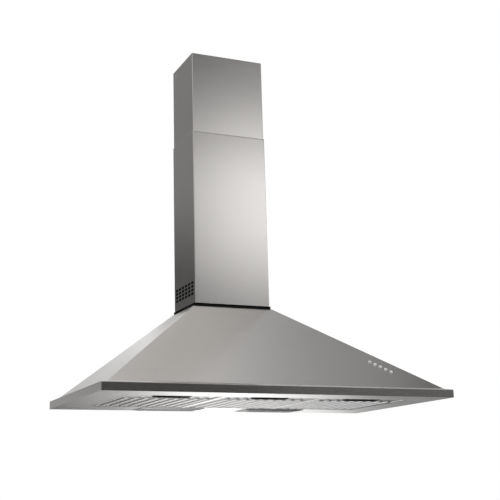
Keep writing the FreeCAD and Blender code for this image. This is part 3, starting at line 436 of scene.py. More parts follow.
def makeLowerChimney():
    # Channel with rows of slots in both sides. Its top edge closes in on the upper channel.
    low, high = nodeBox("lower_chimney")
    column = -vents["first"] - vents["columnPitch"] * np.arange(vents["columns"])
    row = low[2] + vents["above"] + vents["rowPitch"] * np.arange(vents["rows"])
    halfLength, halfHeight = vents["length"] / 2, vents["height"] / 2
    marks = np.sort(np.hstack([column + halfLength, column - halfLength]))[::-1]
    levels = np.sort(np.hstack([row - halfHeight, row + halfHeight]))
    hem = np.linspace(0, 1, 5)
    height = np.hstack([low[2], levels, high[2] - chimney["hem"] * (1 - hem)])
    inset = np.hstack([0, 0 * levels, chimney["hemInset"] * (1 - np.cos(hem * math.pi / 2))])
    points = channelOutline(high[0] - inset, -low[1] - inset, high[1], height, marks)
    middle = (points[1:, :-1] + points[:-1, 1:]) / 2
    onSide = np.abs(np.abs(middle[..., 0]) - high[0]) < chimney["tolerance"]
    inColumn = np.any(np.abs(middle[..., 1:2] - column) < halfLength, axis=-1)
    inRow = np.any(np.abs(middle[..., 2:3] - row) < halfHeight, axis=-1)
    sleeve = surface(points, keep=~(onSide & inColumn & inRow))
    makePiece("lower_sleeve", [sleeve], "lower_chimney", sheet=chimney["sheet"])


def makeUpperChimney():
    low, high = nodeBox("upper_chimney")
    height = np.linspace(low[2], high[2], 3)
    points = channelOutline(high[0], -low[1], high[1], height)
    makePiece("upper_sleeve", [surface(points)], "upper_chimney", "chimney_upper", sheet=chimney["sheet"])


shadeScreens = {"insets": (5, 5, 2.5, 2.2, 2.2), "rises": (1, 15, 20, 21.5, 66), "front": -151,
           "back": -4, "sheet": 0.6}


def makeShadeScreens():
    # Painted shade: a black plate behind each side's slots stands for the shade inside the chimney. It has
    # an upright foot, a slant inward and an upright blade.
    low, high = nodeBox("lower_chimney")
    x = high[0] - chimney["sheet"] - np.array(shadeScreens["insets"])
    z = low[2] + np.array(shadeScreens["rises"])
    y = np.array([shadeScreens["front"], shadeScreens["back"]])
    for side, sign in (("left", -1), ("right", 1)):
        points = pack(sign * x, y[:, None], z)
        # black rubber finish, so that the slots read as shaded: painted shade
        makePiece(side + "_vent_screen", [surface(points)], slotName="seal_rubber", sheet=shadeScreens["sheet"])


seal = {"groove": 2.2, "power": 0.8, "edge": 0.5, "corner": 3, "leastCorner": 0.4, "gap": 0.2,
        "lipWall": 1.5, "steps": 12}


def makeSeal():
    # Two round lips with a groove between them, and a thin lip that stands inside the channel.
    low, high = nodeBox("chimney_seal")
    channelLow, channelHigh = nodeBox("lower_chimney")
    foot = channelLow[2]
    share = np.linspace(0, 1, seal["steps"] + 1)
    outer = seal["groove"] * np.sin(math.pi * share) ** seal["power"]
    outer[[0, -1]] = seal["edge"]
    inner = high[0] - (channelHigh[0] - chimney["sheet"]) + seal["gap"]
    innermost = inner + seal["lipWall"]
    inset = np.hstack([outer, inner, inner, innermost, innermost])
    height = np.hstack([low[2] + (foot - low[2]) * share, foot, high[2], high[2], low[2]])
    radius = np.maximum(seal["corner"] - inset, seal["leastCorner"])
    points = threeSides(high[0] - inset, -low[1] - inset, radius, height, 0)
    makePiece("foot_seal", [surface(points, wrapV=True)], "chimney_seal", fill=True)


makeLowerChimney()
makeUpperChimney()
makeShadeScreens()
makeSeal()
print("chimney made")


# filters: pressed face, latch, leaf spring and mesh

filters = {
    "ridges": 9, "border": 12.5, "width": 17, "height": 3, "crown": 3.4, "front": 345, "rear": 122,
    "slot": 3.6, "slotInset": 12, "slotHold": 0.4, "sheet": 1, "bead": 6, "beadHeight": 1.7,
    "beadPower": 0.7, "across": (0, 0.15, 0.3, 0.45, 0.6, 0.75, 0.88, 1),
}
pocket = {"half": 43, "front": 389, "rear": 351, "depth": 14.5, "corner": 9, "leastCorner": 2,
          "cornerShare": 0.5, "fold": 0.9, "draft": 1.6, "lip": 2.6, "lipEdge": (0, 0.3, 0.8),
          "lipStep": 0.5, "drop": 1.8, "floor": 16, "floorCorner": 1}


def ridgeDepth(x, y, centres):
    # Each ridge is a capsule: a smooth cosine hill over the distance to its middle line.
    s = filters
    radius = s["width"] / 2
    middle, reach = -(s["front"] + s["rear"]) / 2, (s["front"] - s["rear"]) / 2 - radius
    past = np.maximum(np.abs(y - middle) - reach, 0)
    nearest = np.min(np.abs(x[..., None] - centres), axis=-1)
    share = np.clip((np.hypot(nearest, past) - s["crown"]) / (radius - s["crown"]), 0, 1)
    return s["height"] * (0.5 + 0.5 * np.cos(math.pi * share))


def uniqueLines(*lines):
    return np.unique(np.round(np.hstack([np.ravel(line) for line in lines]), 4))


def makeFilterFace(name):
    # A grid with a line at every ridge step, slot edge and pocket edge, pressed down by ridges and beads.
    s = filters
    low, high = nodeBox(name + "_face")
    frameLow, frameHigh = nodeBox(name + "_frame")
    middle, half = (low[0] + high[0]) / 2, (high[0] - low[0]) / 2
    faceZ = low[2] + s["height"]
    pitch = (frameHigh[0] - frameLow[0] - s["border"] * 2 - s["width"]) / (s["ridges"] - 1)
    centres = (np.arange(s["ridges"]) - (s["ridges"] - 1) / 2) * pitch
    gaps = (centres[:-1] + centres[1:]) / 2
    slotHalf = s["slot"] / 2
    steps = np.array(s["across"]) * s["width"] / 2
    slotEdges = np.array([slotHalf, slotHalf + s["slotHold"]])
    bead = half - s["bead"] * np.linspace(0, 1, 11)
    x = uniqueLines(centres[:, None] + steps, centres[:, None] - steps, gaps[:, None] + slotEdges,
                    gaps[:, None] - slotEdges, pocket["half"], -pocket["half"], bead, -bead)
    end = s["width"] / 2 * (1 - np.cos(np.linspace(0, math.pi / 2, 9)))
    slotFront, slotRear = -s["front"] + s["slotInset"], -s["rear"] - s["slotInset"]
    y = uniqueLines(low[1], -pocket["front"], -pocket["rear"], -s["front"] + end,
                    np.linspace(slotFront, slotRear, 9), -s["rear"] - end, high[1])
    gridX, gridY = np.meshgrid(x, y, indexing="ij")
    side = np.clip((np.abs(gridX) - half + s["bead"]) / s["bead"], 0, 1)
    depth = ridgeDepth(gridX, gridY, centres) + s["beadHeight"] * np.sin(math.pi * side) ** s["beadPower"]
    points = pack(gridX + middle, gridY, faceZ - depth)
    cellX, cellY = ((line[:-1] + line[1:]) / 2 for line in (x, y))
    inSlot = np.any(np.abs(cellX[:, None] - gaps) < slotHalf, axis=1)[:, None]
    inSlot = inSlot & ((cellY > slotFront) & (cellY < slotRear))[None]
    inPocket = (np.abs(cellX) < pocket["half"])[:, None]
    inPocket = inPocket & ((cellY > -pocket["front"]) & (cellY < -pocket["rear"]))[None]
    face = surface(points[:, ::-1], keep=~(inSlot | inPocket)[:, ::-1])
    makePiece(name + "_press", [face], name + "_face", name, sheet=s["sheet"])
    # The pocket's cup takes the black latch plastic: painted shade inside the handle recess.
    makePiece(name + "_cup", [pocketSurface(middle, faceZ)], body=name,
              slotName="latch_plastic", sheet=s["sheet"])


def pocketSurface(middle, faceZ):
    # Rounded cup: a raised lip, a fold at the mouth, drafted walls and a second fold at the floor. Its black
    # finish is painted shade for the recess.
    s = pocket
    fold, lip, drop = s["fold"], s["lip"], s["drop"]
    turn = np.linspace(0, math.pi / 2, 6)
    inset = np.hstack([np.array(s["lipEdge"]) - lip, fold * np.sin(turn),
                       s["draft"] + fold * 2 - fold * np.cos(turn), s["floor"]])
    rise = np.hstack([0, s["lipStep"] - drop, -drop, fold * (1 - np.cos(turn)) - drop,
                      s["depth"] - fold + fold * np.sin(turn), s["depth"]])
    radius = np.maximum(s["corner"] - inset * s["cornerShare"], s["leastCorner"])
    radius[-1] = s["floorCorner"]
    centre = (middle, -(s["front"] + s["rear"]) / 2)
    halfY = (s["front"] - s["rear"]) / 2
    points = ringAround(centre, s["half"] - inset, halfY - inset, radius, faceZ + rise)
    floor = points[:, -1:].mean(axis=0, keepdims=True).repeat(len(points), axis=0)
    return surface(np.hstack([points, floor])[::-1], wrapU=True)


latch = {"front": -376, "thickness": 7, "power": 3.2, "ends": 2.2, "endShare": 0.76, "endFace": 0.74,
         "tongueWidth": 30, "tongueThickness": 1.2, "tongueZ": 4.9, "tongueTip": 0.8, "tongueTuck": 1,
         "tonguePower": 8, "travel": 6}


def makeLatch(name):
    # Rounded grip bar whose ends taper over a short run, with a flat tongue through the frame.
    s = latch
    low, high = nodeBox(name + "_latch")
    middle, halfX = (low[0] + high[0]) / 2, (high[0] - low[0]) / 2
    centreY, centreZ = s["front"] + s["thickness"] / 2, (low[2] + high[2]) / 2
    ends = s["ends"] * (1 - np.cos(np.linspace(0, math.pi / 2, 6)))
    scale = np.sqrt(np.clip(1 - ((s["ends"] - ends) / s["ends"]) ** 2, 0, 1)) * (1 - s["endShare"])
    scale = scale + s["endShare"]
    scale[0] = s["endFace"]
    scale = np.hstack([0, scale, scale[::-1], 0])
    run = np.hstack([-halfX, -halfX + ends, (halfX - ends)[::-1], halfX])
    path = pack(middle + run, centreY, centreZ)
    outline = roundedOutline(s["thickness"] / 2, (high[2] - low[2]) / 2, s["power"], 28)
    grip = barAlong(path, outline, alongY, alongZ, scale)
    half = s["tongueWidth"] / 2
    reach = np.array([low[1], low[1], low[1] + s["tongueTip"], centreY, centreY])
    width = np.array([0, half - s["tongueTuck"], half, half, 0]) / half
    path = pack(middle, reach, s["tongueZ"])
    edge = roundedOutline(half, s["tongueThickness"] / 2, s["tonguePower"], 24)
    tongue = barAlong(path, edge, alongX, alongZ, width)
    makePiece(name + "_grip", [grip, tongue], name + "_latch", name.replace("_filter", "_latch"))


leaf = {"thickness": 0.5, "height": 5, "steps": 36, "foot": 1.05}


def makeSpring(name):
    # Leaf bent in one wave: both feet on the pocket's wall and the crown behind the grip.
    s = leaf
    low, high = nodeBox(name + "_spring")
    middle, half = (low + high) / 2, (high[0] - low[0]) / 2
    run = np.linspace(-1, 1, s["steps"])
    rise = 0.5 + 0.5 * np.cos(math.pi * np.clip(np.abs(run) * s["foot"], 0, 1))
    y = high[1] - s["thickness"] - (high[1] - low[1] - s["thickness"]) * rise
    path = pack(middle[0] + run * half, y, middle[2])
    outline = np.array([[0, -0.5], [1, -0.5], [1, 0.5], [0, 0.5]]) * [s["thickness"], s["height"]]
    bar = barAlong(path, outline, alongY, alongZ)
    piece = makePiece(name + "_leaf", [bar], name + "_spring", name, fill=True)
    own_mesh(piece)


net = {"strands": 112, "cells": 54, "strand": 1, "thickness": 0.4, "pleats": 9}


def makeFilterMesh(name):
    # Expanded metal: zigzag ribbons that meet their neighbours, laid over a wave of pleats.
    s = net
    low, high = nodeBox(name + "_mesh")
    across = np.linspace(0, 1, s["cells"] * 2 + 1)
    row = np.arange(s["strands"])[:, None]
    pitch = (high[1] - low[1]) / s["strands"]
    zigzag = np.where((np.arange(len(across)) + row) % 2, 1, -1) * (pitch - s["strand"]) / 2
    swing = (high[2] - low[2] - s["thickness"]) / 2
    z = (low[2] + high[2]) / 2 + swing * np.sin(math.tau * s["pleats"] * across)
    ribbon = np.array([[-1, -1], [1, -1], [1, 1], [-1, 1]]) * [s["strand"] / 2, s["thickness"] / 2]
    points = np.empty((s["strands"], len(across), 4, 3))
    points[..., 0] = (low[0] + (high[0] - low[0]) * across)[:, None]
    points[..., 1] = (low[1] + (row + 0.5) * pitch + zigzag)[..., None] + ribbon[:, 0]
    points[..., 2] = z[:, None] + ribbon[:, 1]
    makePiece(name + "_net", [manyOf(points, wrapV=True)], name + "_mesh", name, fill=True)


for filterName in ("left_filter", "centre_filter", "right_filter"):
    makeFilterFace(filterName)
    makeLatch(filterName)
    makeSpring(filterName)
    makeFilterMesh(filterName)
print("filters made")


# lamps: bevelled bezel, ribbed lens and bulb

bezel = {"drop": 3.2, "bevel": 14, "softening": 3, "bevelShare": 0.82, "corner": 5, "leastCorner": 0.8,
         "cornerShare": 0.25, "window": 21, "lip": 0.8, "innerRise": 3.8, "wall": 2, "foot": 0.4}


def makeLampBezel(side):
    # Ring whose section goes down from the pan over a slanted bevel to the flat round the window.
    s = bezel
    low, high = nodeBox(side + "_lamp_bezel")
    half, drop, window = (high - low)[:2] / 2, -s["drop"], s["window"]
    bevel, soft = s["bevel"], s["softening"]
    crown = bend([bevel - soft, drop * s["bevelShare"]], [bevel, drop], [bevel + soft, drop], 5)
    lip = bend([window - s["lip"], drop], [window, drop], [window, drop + s["lip"]], 4)
    inner = [[window, drop + s["innerRise"]], [window - s["wall"], drop + s["innerRise"]],
             [window - s["wall"], 0]]
    section = np.vstack([[0, 0], [s["foot"], -s["foot"]], crown, lip, *inner])
    inset, height = section.T
    radius = np.maximum(s["corner"] - inset * s["cornerShare"], s["leastCorner"])
    points = ringAround((low + high) / 2, half[0] - inset, half[1] - inset, radius, height)
    makePiece(side + "_lamp_cover", [surface(points[::-1], wrapU=True, wrapV=True)], side + "_lamp_bezel")


lens = {"ribs": 46, "ribDepth": 0.35, "thickness": 1.8, "gap": 0.3, "recess": 2.2}


def makeLens(side):
    # Diffuser plate with shallow round ribs across it.
    s = lens
    base = nodeBox(side + "_lamp_lens")[0][2] + s["recess"]
    low, high = nodeBox(side + "_lamp_bezel")
    inset = bezel["window"] + s["gap"]
    x = np.linspace(low[0] + inset, high[0] - inset, s["ribs"] * 6 + 1)
    y = np.linspace(low[1] + inset, high[1] - inset, 5)
    gridX, gridY = np.meshgrid(x, y, indexing="ij")
    phase = (gridX - x[0]) / (x[-1] - x[0]) * s["ribs"]
    ribs = s["ribDepth"] * np.abs(np.sin(math.pi * phase))
    under = pack(gridX, gridY, base + s["ribDepth"] - ribs)
    over = pack(gridX, gridY, base + s["thickness"])
    loop = np.hstack([under, over[:, ::-1]])
    makePiece(side + "_lamp_diffuser", [surface(loop, wrapV=True)], side + "_lamp_lens", fill=True, sharp=50)


bulb = {"radius": 17, "cap": 7, "capLength": 6, "length": 62, "thread": 0.25, "turns": 3,
        "skew": 0.62, "fullness": 0.85, "taper": 0.12, "neck": 6}


def makeBulb(side, sign):
    # Candle bulb lying along X: a smooth tear-drop on a threaded cap.
    s = bulb
    low, high = nodeBox(side + "_lamp_bulb")
    t = np.linspace(0, 1, 18)
    belly = s["radius"] * np.sin(math.pi * t ** s["skew"]) ** s["fullness"] * (1 - s["taper"] * t)
    body = pack(np.maximum(belly, s["cap"] * (1 - t) ** s["neck"]), s["capLength"] + s["length"] * t)
    body[-1, 0] = 0
    threads = np.linspace(0, s["capLength"], 12)
    cap = pack(s["cap"] - s["thread"] + s["thread"] * np.cos(threads * s["turns"]), threads)
    centre = (low + high) / 2
    centre[0] = high[0] if sign > 0 else low[0]
    shape = turned(np.vstack([[0, 0], cap, body[1:]]), centre, -sign * alongX, alongY, 28)
    makePiece(side + "_bulb_glass", [shape], side + "_lamp_bulb")


for lampSide, lampSign in (("left", -1), ("right", 1)):
    makeLampBezel(lampSide)
    makeLens(lampSide)
    makeBulb(lampSide, lampSign)
print("lamps made")


# push buttons in a row, inset from the right-hand slanted edge of the front

button = {"count": 5, "inward": 41, "first": 136.4, "pitch": 14.8, "radius": 4.2, "proud": 2.6, "dome": 0.5,
          "domeEdge": 0.15, "edge": 0.7, "back": 1, "chamfer": 0.3, "stem": 2.4, "stemLength": 14,
          "keeperTop": 8.4, "keeper": 3.4, "keeperHeight": 1.1, "gap": 0.3, "cutDepth": 5}


def buttonFrame():
    # Outward normal of the front face, the direction along its right-hand edge, and the buttons' places.
    low, high = nodeBox("canopy_skin")
    foot = np.array([high[0], low[1], nodeBox("rim_frame")[1][2]])
    top = np.array([canopy["topHalfX"], -canopy["topFront"], high[2]])
    along = (top - foot) / np.linalg.norm(top - foot)
    rise, run = top[2] - foot[2], top[1] - foot[1]
    outward = np.array([0, -rise, run]) / math.hypot(rise, run)
    start = foot + np.cross(outward, along) * button["inward"]
    places = [start + along * (button["first"] + button["pitch"] * i) for i in range(button["count"])]
    return outward, along, places


def makeButtons():
    # Cap domed by a parabola over a round shoulder, on a stem with a keeper ring.
    s = button
    outward, along, places = buttonFrame()
    radius, stem, back, keeper, keeperTop = s["radius"], s["stem"], -s["back"], s["keeper"], -s["keeperTop"]
    edge = s["proud"] - s["dome"]
    shoulder = bend([radius, edge - s["edge"]], [radius, edge],
                    [radius - s["edge"], edge + s["domeEdge"]], 5)
    share = np.linspace(1, 0, 7)[1:]
    crown = pack((radius - s["edge"]) * share, s["proud"] - (s["dome"] - s["domeEdge"]) * share ** 2)
    keeperLow = keeperTop - s["keeperHeight"]
    shank = [[0, -s["stemLength"]], [stem, -s["stemLength"]], [stem, keeperLow], [keeper, keeperLow],
             [keeper, keeperTop], [stem, keeperTop], [stem, back], [radius - s["chamfer"], back],
             [radius, back + s["chamfer"]]]
    profile = np.vstack([shank, shoulder, crown])
    for number, place in enumerate(places, 1):
        makePiece(f"button_cap_{number}", [turned(profile, place, outward, along)],
                  f"push_button_{number}", f"button_{number}")


def cutButtonHoles(piece):
    # Round holes through the sheet, cut with a boolean.
    outward, along, places = buttonFrame()
    hole, depth = button["radius"] + button["gap"], button["cutDepth"]
    profile = [[0, -depth], [hole, -depth], [hole, depth], [0, depth]]
    tool = makePiece("hole_tool", [turned(profile, place, outward, along) for place in places],
                     slotName="brushed_steel")
    cut = piece.modifiers.new("holes", "BOOLEAN")
    cut.operation = "DIFFERENCE"
    cut.solver = "EXACT"
    cut.object = tool
    applyModifiers(piece, sharpAngle)
    bpy.data.objects.remove(tool)


makeButtons()
cutButtonHoles(canopySheet)
print("buttons made")


# blower: wheel, motor, inlet ring and the belt where the scroll's halves meet

wheel = {"blades": 24, "inner": 58.5, "outer": 71.6, "thickness": 1.1, "camber": 3.9, "bladeStart": 1,
         "disc": 2.5, "hub": 10, "hubLength": 16, "bore": 4, "hubEdge": 0.8, "edge": 0.6,
         "fillet": (4, 5), "discHold": 4, "ring": 74,
         # the inlet ring's section as (inset, distance from the inlet)
         "ringSection": ((3.4, 0.8), (2.6, 0), (0.7, 0), (0, 0.7), (0, 5), (1, 5.6), (2, 5), (2.2, 2.4),
                         (3.4, 1.8))}


def fanAxis():
    low, high = nodeBox("fan_wheel")
    return low, high, (low + high) / 2 * [0, 1, 1]


def makeWheel():
    # Blades whose section bows by a parabola over the radius, between an inlet ring and a dished disc.
    s = wheel
    low, high, centre = fanAxis()
    share = np.linspace(0, 1, 9)
    radius = s["inner"] + (s["outer"] - s["inner"]) * share
    bow = s["camber"] * (1 - (2 * share - 1) ** 2)
    radius = np.hstack([radius, radius[::-1]])
    side = np.hstack([bow + s["thickness"] / 2, bow[::-1] - s["thickness"] / 2])
    turn = (side / radius)[None] + (np.arange(s["blades"]) / s["blades"] * math.tau)[:, None]
    points = np.empty((s["blades"], len(radius), 2, 3))
    points[..., 0] = np.array([low[0] + s["bladeStart"], high[0] - s["disc"] / 2])
    points[..., 1] = (centre[1] + radius * np.cos(turn))[..., None]
    points[..., 2] = (centre[2] + radius * np.sin(turn))[..., None]
    edge, hubEdge, outer = s["edge"], s["hubEdge"], s["ring"]
    ring = np.array(s["ringSection"]) * [-1, 1] + [outer, low[0]]
    back, front = high[0], high[0] - s["disc"]
    hub, bore, tip = s["hub"], s["bore"], high[0] - s["hubLength"]
    fillet = bend([hub, front - s["fillet"][0]], [hub, front], [hub + s["fillet"][1], front], 5)
    disc = np.vstack([
        [bore, tip], [hub - hubEdge, tip], [hub, tip + hubEdge], fillet, [outer - s["discHold"], front],
        [outer - edge, front], [outer, front + edge], [outer, back - edge], [outer - edge, back],
        [bore, back]])
    rounds = [turned(profile, centre, alongX, alongY, 72, closed=True) for profile in (ring, disc)]
    makePiece("blower_wheel", [manyOf(points, wrapU=True), *rounds], "fan_wheel", "fan", fill=True)


motor = {"radius": 38, "bore": 4.8, "flange": 2, "corner": 5, "ribs": 7, "ribDepth": 0.9, "ribInset": 7,
         "bell": 9, "bellHold": 4, "bellInset": 13, "boss": 11, "bossRise": 1.5, "boreEdge": 0.5,
         # the can's foot and the boss as (radius less the can's or boss's, distance from the face or end)
         "foot": ((-4, -0.2), (-1.2, 0), (0, 1.2)), "bossSection": ((1, -1.5), (0, -0.4), (-1, 0))}


def makeMotor():
    # Can with round ribs along its middle and a bell-shaped end, on a square flange.
    s = motor
    low, high = nodeBox("motor")
    centre = fanAxis()[2]
    radius, face, end = s["radius"], low[0] + s["flange"], high[0]
    run = np.linspace(0, 1, s["ribs"] * 8 + 1)
    ribStart, ribEnd = face + s["ribInset"], end - s["bell"] - s["bellHold"]
    ribs = pack(radius - s["ribDepth"] * (0.5 - 0.5 * np.cos(math.tau * s["ribs"] * run)),
                ribStart + (ribEnd - ribStart) * run)
    bell = bend([radius, end - s["bell"]], [radius, end - s["bossRise"]],
                [radius - s["bellInset"], end - s["bossRise"]], 8)
    profile = np.vstack([
        [s["bore"], low[0]], [s["bore"], face - s["boreEdge"]], np.array(s["foot"]) + [radius, face],
        ribs, bell, np.array(s["bossSection"]) + [s["boss"], end], [0, end]])
    half = (high[1] - low[1]) / 2
    flange = plate(centre[1:], half, half, s["corner"], (low[0], face), order=(1, 2, 0))
    makePiece("motor_can", [turned(profile, centre, alongX, alongY, 56), flange], "motor", fill=True)


# the bellmouth's section as (radius, distance from the housing's wall)
inlet = {"lip": ((62.5, 0), (58, -3), (56.2, 3)), "inside": ((56, 5.5), (54.9, 5.5), (54.9, 2)),
         "outside": ((55.2, 0), (57.4, -5), (63.5, -1.4)), "foot": (63.5, 0)}


def makeInletRing():
    # Bellmouth: a rounded lip round the inlet that turns into the housing.
    section = np.vstack([bend(*inlet["lip"], 8), inlet["inside"], bend(*inlet["outside"], 8), inlet["foot"]])
    profile = section + [0, nodeBox("scroll_left")[0][0]]
    makePiece("inlet_ring", [turned(profile, fanAxis()[2], alongX, alongY, 72, closed=True)],
              slotName="housing_plastic")


belt = {"firstRadius": 87.5, "growth": 9, "steps": 20, "leastStep": 0.01, "topGap": 4,
        "width": 5, "height": 3,
        # shares of the width and height
        "section": ((-0.5, -0.3), (-0.5, 0.7), (-0.35, 1), (0.35, 1), (0.5, 0.7), (0.5, -0.3))}


def makeScrollBelt():
    # Raised joint along the spiral: three quarter arcs, each with its centre and radius a step on.
    centre, top = fanAxis()[2], nodeBox("scroll_left")[1][2]
    turn = np.linspace(0, math.pi / 2, belt["steps"] + 1)
    half = belt["growth"] / 2
    path, outward = [], []
    for quarter, (offY, offZ) in enumerate([(-half, -half), (half, -half), (half, half)]):
        angle = math.pi / 2 + turn + quarter * math.pi / 2
        normal = pack(0, np.cos(angle), np.sin(angle))
        path.append(centre + [0, offY, offZ] + normal * (belt["firstRadius"] + belt["growth"] * quarter))
        outward.append(normal)
    path.append([path[-1][-1] * [1, 1, 0] + [0, 0, top - belt["topGap"]]])
    outward.append([outward[-1][-1]])
    path, outward = np.vstack(path), np.vstack(outward)
    keep = np.hstack([True, np.linalg.norm(np.diff(path, axis=0), axis=1) > belt["leastStep"]])
    path, outward = path[keep][:, None], outward[keep][:, None]
    section = np.array(belt["section"]) * [belt["width"], belt["height"]]
    points = path + alongX * section[None, :, :1] + outward * section[None, :, 1:]
    makePiece("scroll_belt", [surface(points, wrapV=True)], slotName="housing_plastic", fill=True)


collar = {"radius": 61.4, "roll": 1.1, "bead": 16}


def makeCollarEdge():
    # Rolled edge on the spigot's mouth and a bead below it that holds the duct.
    low, high = nodeBox("outlet_collar")
    turn = np.linspace(0, math.tau, 12, endpoint=False)
    circle = pack(np.cos(turn), np.sin(turn)) * collar["roll"]
    middle = (low + high) / 2 * [1, 1, 0]
    rolls = [turned(circle + [collar["radius"], high[2] - drop], middle, alongZ, alongX, 72, closed=True)
             for drop in (collar["roll"], collar["bead"])]
    makePiece("collar_edge", rolls, slotName="housing_plastic")


capacitor = {"rim": 1.6, "groove": 0.8, "grooveDepth": 9, "grooveWidth": 4, "terminal": 6, "lid": 0.8,
             "lidInset": 3, "tab": 3, "tabThickness": 0.8, "tabApart": 5, "tabCorner": 0.35,
             "tabFoot": 1.5}


def makeCapacitor():
    # Round can with a crimped groove near its top and two blade terminals.
    s = capacitor
    low, high = nodeBox("capacitor")
    middle = (low + high) / 2
    top, radius, rimWidth = high[2] - s["terminal"], (high[0] - low[0]) / 2, s["rim"]
    foot = bend([radius - rimWidth, low[2]], [radius, low[2]], [radius, low[2] + rimWidth], 5)
    share = np.linspace(0, 1, 9)
    crimp = pack(radius - s["groove"] * np.sin(math.pi * share) ** 2,
                 top - s["grooveDepth"] + s["grooveWidth"] * share)
    crown = bend([radius, top - rimWidth], [radius, top], [radius - rimWidth, top], 5)
    profile = np.vstack([[0, low[2]], foot, crimp, crown, [radius - s["lidInset"], top - s["lid"]],
                         [0, top - s["lid"]]])
    can = turned(profile, middle * [1, 1, 0], alongZ, alongX, 40)
    tabs = [plate((middle[0] + side * s["tabApart"], middle[1]), s["tab"], s["tabThickness"] / 2,
                  s["tabCorner"], (top - s["tabFoot"], high[2])) for side in (-1, 1)]
    makePiece("motor_capacitor", [can, *tabs], "capacitor")


makeWheel()
makeMotor()
makeInletRing()
makeScrollBelt()
makeCollarEdge()
makeCapacitor()
print("blower made")


# screws with a cross recess

screw = {
    # radius, height and lobe of each ring, as shares of the head's radius
    "rings": ((1, -0.1), (1, 0.22), (0.9, 0.42), (0.66, 0.56), (0.46, 0.6), (0.34, 0.58), (0.24, 0.2),
              (0, 0.16)),
    "lobes": (0, 0, 0, 0, 0, 0.42, 0.42, 0), "steps": 24,
    "sleeveRadius": 2.6, "sleeveY": -30,
    # node, radius, inset from the corners, height above the node's low side, direction
    "rows": {"motor_screws": ("motor", 3.2, 6, motor["flange"], alongX),
             "collar_screws": ("outlet_collar", 3, 6, 1.5, alongZ),
             "lid_screws": ("junction_lid", 2.8, 7, 0, -alongY)},
}


def makeScrews(name, radius, places, outward, **settings):
    side = alongX if outward[1] else alongY
    profile = np.array(screw["rings"]) * radius
    heads = [turned(profile, place, outward, side, screw["steps"], lobes=screw["lobes"]) for place in places]
    makePiece(name, heads, fill=True, sharp=40, **settings)


def makeAllScrews():
    # Two in the upper chimney's sides, and one near each corner of the motor, the collar and the lid.
    reach = nodeBox("upper_chimney")[1][0]
    level = sum(corner[2] for corner in nodeBox("chimney_bracket")) / 2
    for side, sign in (("left", -1), ("right", 1)):
        makeScrews(side + "_sleeve_screw", screw["sleeveRadius"], [(sign * reach, screw["sleeveY"], level)],
                   sign * alongX, body="chimney_upper", slotName="brushed_steel")
    for name, (node, radius, inset, above, outward) in screw["rows"].items():
        low, high = nodeBox(node)
        axis = np.argmax(np.abs(outward))
        first, second = np.delete(np.arange(3), axis)
        places = np.full((4, 3), low[axis] + above)
        places[:, first] = np.repeat([low[first] + inset, high[first] - inset], 2)
        places[:, second] = np.tile([low[second] + inset, high[second] - inset], 2)
        makeScrews(name, radius, places, outward, slotName="zinc_steel", finish="screwSteel")


makeAllScrews()
print("screws made")


# studio: pale floor, white surroundings and soft cards that only reflections see

studio = {"floorHalf": 14, "floorLevel": -1.65, "floorShine": 0.45, "worldLight": 0.45, "cardSteps": 90,
          "cardFade": 0.35}


def seenRays(tree):
    # 1 for rays from the camera and for those that metal and glass send on, otherwise 0.
    camera, glossy, through = (addNode(tree, "ShaderNodeLightPath", {}, f"Is {kind} Ray")
                               for kind in ("Camera", "Glossy", "Transmission"))
    return calculate(tree, "MAXIMUM", calculate(tree, "MAXIMUM", camera, glossy), through)


def makeFloor():
    size, level = studio["floorHalf"], studio["floorLevel"]
    corners = np.array([(-1, -1), (1, -1), (1, 1), (-1, 1)])
    mesh = newMesh("floor", pack(*(corners * size).T, level), np.arange(4)[None])
    material, tree = newMaterial("paleFloor")
    shine = calculate(tree, "MULTIPLY", seenRays(tree), studio["floorShine"])
    feed(tree, tree.nodes["Principled BSDF"], {
        "Base Color": (0.86, 0.86, 0.86, 1), "Roughness": 0.9, "Emission Color": (1, 1, 1, 1),
        "Emission Strength": shine})
    mesh.materials.append(material)
    addObject("floor", mesh)


def makeWorld():
    # White to the camera and in reflections, and a plain even light on everything else.
    world = bpy.data.worlds.new("studio")
    bpy.context.scene.world = world
    world.use_nodes = True
    tree = world.node_tree
    strength = {"Value": seenRays(tree), "To Min": studio["worldLight"]}
    feed(tree, tree.nodes["Background"], {
        "Color": (1, 1, 1, 1), "Strength": addNode(tree, "ShaderNodeMapRange", strength, "Result")})


